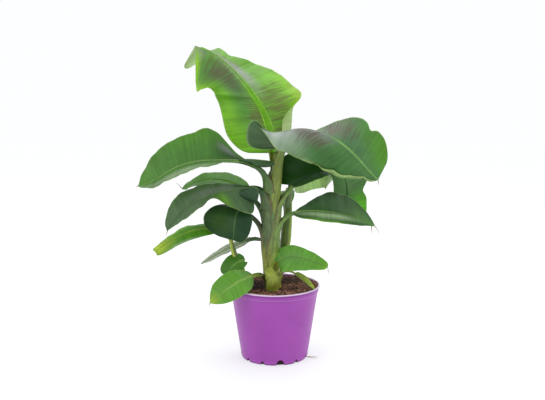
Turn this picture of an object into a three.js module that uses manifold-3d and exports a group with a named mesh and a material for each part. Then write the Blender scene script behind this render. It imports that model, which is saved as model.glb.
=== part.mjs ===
// A potted banana plant: a nursery pot full of soil, a stem of wrapped leaf sheaths, two young shoots and their
// leaves. Millimetres, +Z up; the origin is the centre of the pot's flat underside.
// Headings are pairs [elevation, azimuth] in degrees; azimuth 0 points along +X and 90 along +Y.
import * as THREE from 'three';
import { mergeVertices } from 'three/addons/utils/BufferGeometryUtils.js';
import Module from 'manifold-3d';

const wasm = await Module();
wasm.setup();

// ---- driving dimensions ----
const GAP = 0.3;                  // clearance between pieces that meet
const SHORTEST = 0.12;            // shortest edge that a cut may leave
const FACETS = 48;                // facets round the pot
const POT = { height: 149, rim: 92, base: 67.5, wall: 2, floor: 3, lip: 4, lipDepth: 2.5, band: 10, bandStep: 0.6 };
const NOTCH = { count: 12, turn: 9.6, reach: 5, small: [6, 5], large: [16, 8], largeEvery: 3 };
const SOIL_LEVEL = 143;
const THINNESS = 0.0105;          // a blade's thickness for each millimetre of its length
const MARGIN_END = 1.6;           // half width that is left at a blade's tip
const STALK = { sides: 8, rings: 7, start: 6, end: 3.6 };
const RIB_TIP = 0.8;              // half width of the rib at a blade's tip
const RIB_DEPTH = 1.5;            // depth of the rib for each millimetre of its half width
const FINE_STEPS = 48;            // steps of the walk along a blade
const ACROSS_STEPS = 10;          // steps of the walk across half a blade
const FLAP_FROM = 0.65;           // where a flap starts to turn over, between the rib and the margin, unless told

// ---- stems: centres [x, y] and radii, evenly spread from the cut at the soil to the top ----
const STEMS = {
  main_stem: {
    top: 400, sides: 16, rings: 9, colour: 0x8f9a45,
    centres: [[-3, 0], [-6, 0], [-8, 0], [-8, 0], [-5, 0], [0, 2], [6, 2]],
    radii: [18.5, 18, 17.8, 17.5, 16.8, 14, 10.5],
  },
  left_shoot: {
    top: 232, sides: 10, rings: 5, colour: 0xa3b04a,
    centres: [[-58, 5], [-68, 5], [-77, 4], [-86, 3]],
    radii: [9, 7.5, 6, 5],
  },
  rear_shoot: {
    top: 345, sides: 12, rings: 6, colour: 0x86a04a,
    centres: [[3, 37], [21, 36], [27, 36], [31, 34]],
    radii: [10, 10, 9, 7],
  },
};

// ---- leaves ----
// A stalk rises from its root on a stem, then the blade follows its arch. roll turns the whole blade about its
// rib. Each half has its width, its widest place, how blunt its base and its tip are and a trim of its outline;
// the fold at the rib, the curl over the width, the hem at the margin and a flap turned over near it; the slant
// and the bow of its veins; and its pleats, each [place, length, turn]. Lists are spread evenly from the base of
// the blade to its tip, and every angle is in degrees.
const LEAVES = {
  top_leaf: {
    stem: 'main_stem', root: [-1, 5, 375], rise: [[80, 100], [82, 110]], stalk: 40,
    arch: [[83, 115], [66, 138], [52, 148], [44, 152], [35, 156], [17, 160]], blade: 299,
    roll: [-40, -40, -42, -50, -68, -85], stations: 20, across: 6,
    left: {
      width: 82, widest: 0.2, base: 0.2, tip: 0.1, trim: [1.04, 1.05, 0.82, 0.76, 1.1, 1.32],
      fold: [0, -15, -25, 0, 0], slant: [1, 12, 36, 8, -17, -25], pleats: [[0.39, 0.015, 20]],
    },
    right: {
      width: 98, widest: 0.45, base: 0.6, tip: 0.3, trim: [0.92, 0.98, 1.08, 0.95, 0.45, 1.4], flapFrom: 0.58,
      fold: [10, 4, 0, -10, -22, -36, -46, -72, -160],
      flap: [160, 165, 168, 40, 0, 0, 0, 0, 0, 0, 0], slant: [0, -4, -2, 5, 12, 25],
    },
  },
  right_leaf: {
    stem: 'main_stem', root: [8, -3, 385], rise: [[74, -60], [66, -40]], stalk: 70,
    arch: [[30, 5], [2, 0], [-27, -18], [-37, -33], [-41, -42], [-33, -45]], blade: 208,
    roll: [0, 15, 45, 55, 50], stations: 20, across: 6,
    left: {
      width: 66, widest: 0.5, tip: 0.22, trim: [1, 0.88, 0.84, 1, 1.03, 1, 1, 1.05],
      fold: [-20, -12, 0, 0], slant: [0, -20, -20],
    },
    right: {
      width: 84, widest: 0.3, base: 0.1, tip: 0.5, trim: [1, 1.1, 1.14, 1.03, 0.88, 0.83, 0.74, 0.5, 0.4],
      bow: [-12, -12, -5, 0, 0, 0, 0, 0, 0], fold: [66, 60, 50, 32, 15, 5, 0, 0, 0],
      curl: [0, -115, -130, -110, -60, -50, -40, -35, -30], slant: [-38, -37, -30, -24, -18, -9, 0, 0, 0],
    },
  },
  left_leaf: {
    stem: 'main_stem', root: [-12, -6, 338], rise: [[86, 180], [70, 180]], stalk: 62,
    arch: [[25, 182], [2, 182], [-2, 184], [-18, 186], [-32, 188], [-8, 190]], blade: 242, stations: 15,
    left: { width: 53, widest: 0.4, tip: 0.6, fold: [3, 0, -12, -15, -8] },
    right: {
      width: 70, widest: 0.3, base: 1.6, tip: 0.3, trim: [0.3, 0.34, 0.9, 1.11, 1.02, 0.98, 0.96, 0.92, 0.88],
      fold: [50, 52, 50], slant: [20, 0, -15],
    },
  },
  left_back_leaf: {
    stem: 'main_stem', root: [-14, 4, 262], rise: [[75, 160], [65, 165]], stalk: 86,
    arch: [[35, 165], [15, 170], [-12, 175], [-30, 180]], blade: 145, roll: [-10],
    left: { width: 40, tip: 0.75 },
    right: { width: 35, tip: 0.75, fold: [10] },
  },
  left_middle_leaf: {
    stem: 'main_stem', root: [-14, -10, 307], rise: [[75, 200], [60, 200]], stalk: 60,
    arch: [[0, 195], [-8, 192], [-18, 190], [-30, 190], [-48, 190], [-62, 190]], blade: 195, roll: [-25],
    stations: 16,
    left: {
      width: 44, widest: 0.4, base: 0.8, tip: 0.6, trim: [1, 1.75, 0.95, 0.3, 0.8, 1.1, 1.2, 1],
      fold: [-60, -25, 0], slant: [-40, 0, 10], pleats: [[0.36, 0.03, 25]],
    },
    right: {
      width: 38, widest: 0.7, base: 1, tip: 0.35, trim: [1, 1, 1, 0.72], fold: [0, 10, 25],
      slant: [0, 0, -30],
    },
  },
  left_low_leaf: {
    stem: 'left_shoot', root: [-80, 3, 230], rise: [[70, 170], [40, 175]], stalk: 46,
    arch: [[15, 180], [-12, 183], [-30, 186], [-40, 188]], blade: 140, roll: [-38],
    left: { width: 20, tip: 0.3, curl: [-30] },
    right: { width: 30, tip: 0.3, curl: [-50] },
  },
  front_leaf: {
    stem: 'main_stem', root: [-20, 4, 240], rise: [[72, 165], [60, 185]], stalk: 80,
    arch: [[20, 220], [-50, 245], [-75, 255], [-80, 260]], blade: 78,
    left: { width: 35, base: 0.5, tip: 0.45, fold: [-15], curl: [-20] },
    right: {
      width: 72, widest: 0.6, base: 1.2, tip: 0.45, fold: [25, 5, -5, -5], curl: [-10], slant: [-25, -10, -8],
    },
  },
  back_left_leaf: {
    stem: 'main_stem', root: [-18, 15, 236], rise: [[35, 150], [5, 155]], stalk: 30,
    arch: [[-18, 160], [-27, 165], [-31, 170], [-36, 172]], blade: 130, roll: [30],
    left: { width: 14, tip: 0.8 },
    right: { width: 22, tip: 0.8 },
  },
  left_rim_leaf: {
    stem: 'main_stem', root: [-18, -9, 157], rise: [[50, 238], [26, 256]], stalk: 62,
    arch: [[-6, 218], [-26, 200], [-36, 190], [-41, 186]], blade: 103, roll: [-5, -28, -50, -55],
    left: { width: 28, widest: 0.4, base: 0.22, tip: 0.9, fold: [-62, -28, -6, 0], slant: [12, 10, 20] },
    right: { width: 34, widest: 0.4, base: 0.22, tip: 1.1 },
  },
  small_left_leaf: {
    stem: 'left_shoot', root: [-66, 5, 182], rise: [[65, 350], [50, 340]], stalk: 24,
    arch: [[10, 210], [-38, 200], [-60, 195]], blade: 52, roll: [-40], stations: 8,
    left: { width: 20, tip: 0.45 },
    right: { width: 24, tip: 0.45 },
  },
  right_low_leaf: {
    root: [0, -27, SOIL_LEVEL + GAP], rise: [[88, 180], [86, 180]], stalk: 57, start: 11,
    arch: [[55, -20], [2, -25], [-12, -25], [-15, -25]], blade: 112, roll: [62, 45, 35, 35],
    left: {
      width: 27, widest: 0.3, base: 0.12, tip: 0.45, trim: [0.86, 1, 0.9, 0.86, 0.8], slant: [-25, -10, 10],
    },
    right: { width: 34, widest: 0.4, base: 0.35, tip: 0.4, trim: [1, 1.08, 1.02, 0.8, 0.6], slant: [-28, -6, 10] },
  },
  right_middle_leaf: {
    stem: 'main_stem', root: [4, -6, 246], rise: [[80, 0], [65, 0]], stalk: 66,
    arch: [[8, 0], [-3, -5], [-14, -8], [-28, -10]], blade: 167, roll: [15],
    left: {
      width: 60, widest: 0.5, base: 1.15, tip: 0.9, trim: [0.75, 0.78, 1, 0.95, 0.9], fold: [20],
      slant: [0, -10, -10],
    },
    right: { width: 34, tip: 1.1, fold: [15], curl: [-55] },
  },
  right_back_leaf: {
    stem: 'rear_shoot', root: [30, 35, 336], rise: [[60, 80], [45, 70]], stalk: 34,
    arch: [[36, 41], [16, 21], [-41, -1], [-86, -60], [-88, -80]], blade: 224, stations: 18,
    left: {
      width: 54, widest: 0.3, base: 0.2, tip: 0.2, trim: [1.1, 1.2, 1.1, 1.45, 1.04, 1.25],
      fold: [-70], slant: [-15, 5, 16, -22, 20], pleats: [[0.475, 0.035, 70]],
    },
    right: {
      width: 44, tip: 0.25, trim: [0.4, 0.6, 0.7, 1.35, 0.85, 0.9], fold: [50, 10, 0],
      slant: [-15, 5, 0, -38, 10],
    },
  },
  shaded_leaf: {
    stem: 'main_stem', root: [10, -3, 300], rise: [[80, 20], [65, 0]], stalk: 60,
    arch: [[35, 0], [26, 5], [10, 5], [-15, 5]], blade: 98,
    left: { width: 60, base: 0.25, tip: 0.7, trim: [1, 1.14, 1.14, 1, 1], fold: [50], slant: [-50, -5, 10] },
    right: { width: 20, base: 0.35, tip: 0.7, fold: [-30] },
  },
  soil_leaf: {
    stem: 'right_low_leaf_stalk', root: [2, -30, 173.5], rise: [[50, -5], [12, -12]], stalk: 45,
    arch: [[-36, -15], [-40, -15], [-33, -15]], blade: 49, stations: 7, across: 2,
    left: { width: 11, tip: 0.8, fold: [20] },
    right: { width: 11, tip: 0.8, fold: [20] },
  },
  back_leaf: {
    stem: 'rear_shoot', root: [27, 40, 250], rise: [[75, 100], [60, 100]], stalk: 60,
    arch: [[35, 98], [5, 98], [-25, 96], [-50, 95]], blade: 170,
    left: { width: 30, tip: 0.6, fold: [10] },
    right: { width: 30, tip: 0.6, fold: [10] },
  },
};

// ---- small tools ----
const { degToRad, clamp, lerp, smoothstep } = THREE.MathUtils;

// A smooth value at t, 0 to 1, through evenly spread keys.
function keyed(keys, t) {
  const last = keys.length - 1;
  if (last === 0) return keys[0];
  const x = clamp(t, 0, 1) * last;
  const i = Math.min(Math.floor(x), last - 1);
  const f = x - i;
  const key = (k) => {
    if (k < 0) return 2 * keys[0] - keys[1];
    return k > last ? 2 * keys[last] - keys[last - 1] : keys[k];
  };
  const [a, b, c, d] = [key(i - 1), key(i), key(i + 1), key(i + 2)];
  return b + 0.5 * f * (c - a + f * (2 * a - 5 * b + 4 * c - d + f * (3 * (b - c) + d - a)));
}

// Three directions at t: along the leaf, towards its left half, and out of its upper side.
function directions(headings, t) {
  const elevation = degToRad(keyed(headings.map((h) => h[0]), t));
  const azimuth = degToRad(keyed(headings.map((h) => h[1]), t));
  const along = new THREE.Vector3(
    Math.cos(elevation) * Math.cos(azimuth),
    Math.cos(elevation) * Math.sin(azimuth),
    Math.sin(elevation),
  );
  const left = new THREE.Vector3(-Math.sin(azimuth), Math.cos(azimuth), 0);
  return { along, left, up: along.clone().cross(left) };
}

// Stations along a line that starts at a point and follows its headings for a length.
function walk(start, headings, length, stations) {
  const steps = stations * Math.ceil(FINE_STEPS / stations);
  const point = start.clone();
  const line = [{ point: point.clone(), t: 0, ...directions(headings, 0) }];
  for (let i = 0; i < steps; i += 1) {
    point.addScaledVector(directions(headings, (i + 0.5) / steps).along, length / steps);
    const t = (i + 1) / steps;
    if ((i + 1) % (steps / stations) === 0) line.push({ point: point.clone(), t, ...directions(headings, t) });
  }
  return line;
}

// A closed skin over rings of points that run anticlockwise as seen from the last ring.
function loft(rings) {
  const sides = rings[0].length;
  const corners = [];
  const triangle = (a, b, c) => corners.push(a.x, a.y, a.z, b.x, b.y, b.z, c.x, c.y, c.z);
  for (let i = 0; i < rings.length - 1; i += 1) {
    for (let j = 0; j < sides; j += 1) {
      const k = (j + 1) % sides;
      triangle(rings[i][j], rings[i][k], rings[i + 1][k]);
      triangle(rings[i][j], rings[i + 1][k], rings[i + 1][j]);
    }
  }
  const first = rings[0];
  const last = rings[rings.length - 1];
  for (let j = 1; j < sides - 1; j += 1) {
    triangle(first[0], first[j + 1], first[j]);
    triangle(last[0], last[j], last[j + 1]);
  }
  const geometry = new THREE.BufferGeometry();
  geometry.setAttribute('position', new THREE.Float32BufferAttribute(corners, 3));
  return geometry;
}

// ---- joins and cuts ----
// Indexed triangles without the ones that have closed up and the pairs that lie back to back.
function openTriangles(index) {
  const found = new Map();
  for (let i = 0; i < index.length; i += 3) {
    const [a, b, c] = index.slice(i, i + 3);
    if (a !== b && b !== c && c !== a) {
      const key = [a, b, c].sort((m, n) => m - n).join();
      if (found.has(key)) found.delete(key);
      else found.set(key, [a, b, c]);
    }
  }
  return [...found.values()].flat();
}

function solidOf(geometry) {
  const bare = geometry.clone();
  bare.deleteAttribute('normal');
  bare.deleteAttribute('uv');
  const merged = mergeVertices(bare, 1e-3);
  return new wasm.Manifold(new wasm.Mesh({
    numProp: 3,
    vertProperties: Float32Array.from(merged.attributes.position.array),
    triVerts: Uint32Array.from(openTriangles(Array.from(merged.index.array))),
  }));
}

// The geometry of a solid, with each edge that is shorter than SHORTEST drawn together into one corner.
function geometryOf(solid) {
  const mesh = solid.getMesh();
  const index = Array.from(mesh.triVerts);
  const corner = (i) => new THREE.Vector3().fromArray(mesh.vertProperties, 3 * i);
  const corners = Array.from({ length: mesh.vertProperties.length / 3 }, (_, i) => corner(i));
  const kept = corners.map((_, i) => i);
  const keptAt = (i) => (kept[i] === i ? i : keptAt(kept[i]));
  for (let i = 0; i < index.length; i += 1) {
    const a = keptAt(index[i]);
    const b = keptAt(index[i % 3 === 2 ? i - 2 : i + 1]);
    if (a !== b && corners[a].distanceTo(corners[b]) < SHORTEST) kept[Math.max(a, b)] = Math.min(a, b);
  }
  const geometry = new THREE.BufferGeometry().setFromPoints(corners);
  return geometry.setIndex(openTriangles(index.map(keptAt)));
}

// What is left of a solid clear of its neighbours, without loose scraps.
function cutClear(solid, neighbours) {
  const pieces = neighbours.reduce((rest, other) => rest.subtract(other), solid).decompose();
  return pieces.reduce((best, piece) => (piece.volume() > best.volume() ? piece : best));
}

// ---- pot and soil ----
const wallRadius = (z) => lerp(POT.base, POT.rim - POT.lipDepth, z / (POT.height - POT.lip));
const innerRadius = (z) => wallRadius(z) - POT.wall;

function potSolid() {
  const under = POT.height - POT.lip;
  const shoulder = under - POT.band;
  const outline = [
    [0, 0], [wallRadius(0), 0], [wallRadius(shoulder), shoulder],
    [wallRadius(shoulder) + POT.bandStep, shoulder + POT.bandStep], [wallRadius(under), under],
    [POT.rim, under + 0.5], [POT.rim, POT.height - 1], [POT.rim - 1, POT.height],
    [innerRadius(POT.height), POT.height], [innerRadius(POT.floor), POT.floor], [0, POT.floor],
  ];
  const lathe = new THREE.LatheGeometry(outline.map(([x, y]) => new THREE.Vector2(x, y)), FACETS);
  lathe.rotateX(Math.PI / 2);
  const cutters = Array.from({ length: NOTCH.count }, (_, i) => {
    const [width, height] = i % NOTCH.largeEvery === 0 ? NOTCH.large : NOTCH.small;
    const cutter = new THREE.BoxGeometry(2 * NOTCH.reach, width, height + 2);
    cutter.translate(wallRadius(0), 0, height / 2 - 1);
    cutter.rotateZ(degToRad(NOTCH.turn - 90 + (i * 360) / NOTCH.count));
    return solidOf(cutter);
  });
  return cutClear(solidOf(lathe), cutters);
}

function soilSolid() {
  const low = POT.floor + GAP;
  const outline = [
    [0, low], [innerRadius(low) - GAP, low], [innerRadius(SOIL_LEVEL) - GAP, SOIL_LEVEL], [0, SOIL_LEVEL],
  ];
  const lathe = new THREE.LatheGeometry(outline.map(([x, y]) => new THREE.Vector2(x, y)), FACETS);
  lathe.rotateX(Math.PI / 2);
  return solidOf(lathe);
}

// ---- stems ----
function stemSolid({ top, sides, rings, centres, radii }, extra = 0) {
  const low = SOIL_LEVEL + GAP;
  return solidOf(loft(Array.from({ length: rings + 1 }, (_, i) => {
    const t = i / rings;
    const x = keyed(centres.map((c) => c[0]), t);
    const y = keyed(centres.map((c) => c[1]), t);
    const radius = keyed(radii, t) + extra;
    const z = lerp(low, top, t) + (i === rings ? extra : 0);
    return Array.from({ length: sides }, (__, j) => {
      const turn = (2 * Math.PI * j) / sides;
      return new THREE.Vector3(x + radius * Math.cos(turn), y + radius * Math.sin(turn), z);
    });
  })));
}

// ---- leaves ----
function stalkLine(leaf) {
  return walk(new THREE.Vector3(...leaf.root), [...leaf.rise, leaf.arch[0]], leaf.stalk, STALK.rings);
}

function stalkSolid(leaf, extra = 0) {
  const line = stalkLine(leaf);
  const { start = STALK.start, end = STALK.end } = leaf;
  return solidOf(loft(line.map(({ point, along, left, up, t }, i) => {
    const radius = lerp(start, end, t) + extra;
    const centre = point.clone().addScaledVector(up, extra - radius);
    if (i === STALK.rings) centre.addScaledVector(along, extra - GAP);
    if (i === 0 && !leaf.stem) {
      up.setZ(0).normalize();
      centre.copy(point);
    }
    return Array.from({ length: STALK.sides }, (_, j) => {
      const turn = (2 * Math.PI * j) / STALK.sides;
      return centre.clone()
        .addScaledVector(left, radius * Math.cos(turn))
        .addScaledVector(up, radius * Math.sin(turn));
    });
  })));
}

// Half width of a blade at u, 0 at its base and 1 at its tip.
function halfWidth({ width, widest = 0.42, base = 0.5, tip = 0.8, trim = [1] }, u) {
  const below = clamp(1 - u / widest, 0, 1);
  const above = clamp((u - widest) / (1 - widest), 0, 1);
  return width * keyed(trim, u) * (u < widest ? (1 - below * below) ** base : (1 - above * above) ** tip);
}

const ribWidth = (leaf, u) => lerp(leaf.end ?? STALK.end, RIB_TIP, u ** 0.7);

// Points across half a blade from the rib to the margin. side is 1 for the left half and -1 for the right one.
function acrossHalf(leaf, half, side, station, columns) {
  const { point, along, left, up, t: u } = station;
  const width = Math.max(halfWidth(half, u), lerp(leaf.end ?? STALK.end, MARGIN_END, u));
  const roll = degToRad(keyed(leaf.roll ?? [0], u));
  const outwards = left.clone().multiplyScalar(Math.cos(roll)).addScaledVector(up, Math.sin(roll));
  const upwards = up.clone().multiplyScalar(Math.cos(roll)).addScaledVector(left, -Math.sin(roll));
  const turned = (half.pleats ?? []).reduce(
    (sum, [place, length, turn]) => sum + turn * (0.5 + 0.5 * Math.tanh((u - place) / length)),
    keyed(half.fold ?? [0], u),
  );
  const curl = keyed(half.curl ?? [0], u);
  const hem = keyed(half.hem ?? [0], u);
  const flap = keyed(half.flap ?? [0], u);
  const flapFrom = half.flapFrom ?? FLAP_FROM;
  const bow = keyed(half.bow ?? [0], u);
  const slant = Math.tan(degToRad(keyed(half.slant ?? [-15, 10, 25], u)));
  const profile = [[0, 0]];
  for (let i = 0; i < ACROSS_STEPS; i += 1) {
    const f = (i + 0.5) / ACROSS_STEPS;
    const over = smoothstep(f, flapFrom, flapFrom + 0.2);
    const angle = degToRad(turned + curl * f + hem * f ** 4 + flap * over);
    const [out, rise] = profile[i];
    profile.push([out + (Math.cos(angle) * width) / ACROSS_STEPS, rise + (Math.sin(angle) * width) / ACROSS_STEPS]);
  }
  const rib = Math.min(0.5, ribWidth(leaf, u) / width);
  return Array.from({ length: columns + 1 }, (_, j) => {
    const f = j === 0 ? 0 : lerp(rib, 1, (j - 1) / (columns - 1));
    const i = Math.min(Math.floor(f * ACROSS_STEPS), ACROSS_STEPS - 1);
    const rest = f * ACROSS_STEPS - i;
    return point.clone()
      .addScaledVector(along, slant * width * f + bow * Math.sin(Math.PI * f))
      .addScaledVector(outwards, side * lerp(profile[i][0], profile[i + 1][0], rest))
      .addScaledVector(upwards, lerp(profile[i][1], profile[i + 1][1], rest));
  });
}

// The blade's middle surface as a grid: each row runs from the left margin over the rib to the right margin.
function bladeGrid(leaf) {
  const line = stalkLine(leaf);
  const columns = leaf.across ?? 4;
  return walk(line[STALK.rings].point, leaf.arch, leaf.blade, leaf.stations ?? 11).map((station) => {
    const left = acrossHalf(leaf, leaf.left, 1, station, columns);
    const right = acrossHalf(leaf, leaf.right, -1, station, columns);
    return [...left.reverse(), ...right.slice(1)];
  });
}

function bladeSolid(leaf) {
  const grid = bladeGrid(leaf);
  const rows = grid.length;
  const count = grid[0].length;
  const middle = (count - 1) / 2;
  const half = (leaf.blade * THINNESS) / 2;
  const at = (i, j) => grid[clamp(i, 0, rows - 1)][clamp(j, 0, count - 1)];
  const rings = grid.map((row, i) => {
    const outward = row.map((_, j) => {
      const along = at(i + 1, j).clone().sub(at(i - 1, j));
      const across = at(i, j - 1).clone().sub(at(i, j + 1));
      return along.cross(across).normalize();
    });
    const upper = row.map((p, j) => p.clone().addScaledVector(outward[j], half));
    const lower = row.map((p, j) => {
      const deep = j === middle ? RIB_DEPTH * ribWidth(leaf, i / (rows - 1)) : 0;
      return p.clone().addScaledVector(outward[j], -half - deep);
    });
    return [...upper, ...lower.reverse()];
  });
  return solidOf(loft(rings));
}

// ---- the plant ----
const plant = new THREE.Group();
plant.name = 'banana_plant';

function add(name, solid, look) {
  const mesh = new THREE.Mesh(geometryOf(solid), new THREE.MeshStandardMaterial(look));
  mesh.name = name;
  plant.add(mesh);
}

add('pot', potSolid(), { color: 0xa552af, roughness: 0.45, metalness: 0 });
add('soil', soilSolid(), { color: 0x5c3a2c, roughness: 1, metalness: 0 });

const grown = {};
for (const [name, stem] of Object.entries(STEMS)) {
  grown[name] = stemSolid(stem, GAP);
  add(name, stemSolid(stem), { color: stem.colour, roughness: 0.6, metalness: 0 });
}
const stems = Object.values(grown);
const stalks = {};
for (const [name, leaf] of Object.entries(LEAVES)) {
  const others = Object.values(stalks);
  stalks[name] = stalkSolid(leaf, GAP);
  add(`${name}_stalk`, cutClear(stalkSolid(leaf), [...stems, ...others]), { color: 0x93a548, roughness: 0.6 });
}
for (const [name, leaf] of Object.entries(LEAVES)) {
  const blade = cutClear(bladeSolid(leaf), [...stems, ...Object.values(stalks)]);
  add(name, blade, { color: 0x4f8a35, roughness: 0.55, side: THREE.DoubleSide });
}

export default plant;
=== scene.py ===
"""A young banana plant in a plastic nursery pot. Table lengths are in millimetres, angles in degrees."""
import math

import bpy
import numpy as np
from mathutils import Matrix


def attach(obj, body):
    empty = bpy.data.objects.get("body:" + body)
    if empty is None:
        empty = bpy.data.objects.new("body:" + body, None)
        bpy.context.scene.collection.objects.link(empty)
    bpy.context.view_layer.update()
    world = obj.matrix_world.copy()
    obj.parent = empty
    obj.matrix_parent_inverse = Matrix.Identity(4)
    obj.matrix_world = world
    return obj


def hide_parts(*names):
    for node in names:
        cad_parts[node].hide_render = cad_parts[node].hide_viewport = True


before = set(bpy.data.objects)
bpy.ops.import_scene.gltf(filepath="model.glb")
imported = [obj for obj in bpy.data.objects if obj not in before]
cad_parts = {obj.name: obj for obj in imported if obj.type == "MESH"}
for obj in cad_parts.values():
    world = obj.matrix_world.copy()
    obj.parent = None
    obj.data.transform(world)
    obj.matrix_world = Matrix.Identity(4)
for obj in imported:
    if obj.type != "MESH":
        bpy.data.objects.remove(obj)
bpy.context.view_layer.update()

MM = 0.001

# ---- sizes that the solids share ----
POT_HEIGHT = 149
POT_RIM = 92
POT_BASE = 67.5
POT_WALL = 2
POT_LIP = 4
POT_LIP_DEPTH = 2.5
NOTCH_COUNT = 12
NOTCH_TURN = 9.6
SOIL_LEVEL = 143
STALK_START = 6
STALK_END = 3.6
RIB_TIP = 0.8

STEMS = {
    "main_stem": dict(
        top=400,
        centres=[[-3, 0], [-6, 0], [-8, 0], [-8, 0], [-5, 0], [0, 2], [6, 2]],
        radii=[18.5, 18, 17.8, 17.5, 16.8, 14, 10.5],
    ),
    "left_shoot": dict(
        top=232,
        centres=[[-58, 5], [-68, 5], [-77, 4], [-86, 3]],
        radii=[9, 7.5, 6, 5],
    ),
    "rear_shoot": dict(
        top=345,
        centres=[[3, 37], [20, 36], [26, 36], [30, 34]],
        radii=[11, 11.5, 10.5, 8],
    ),
}

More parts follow.
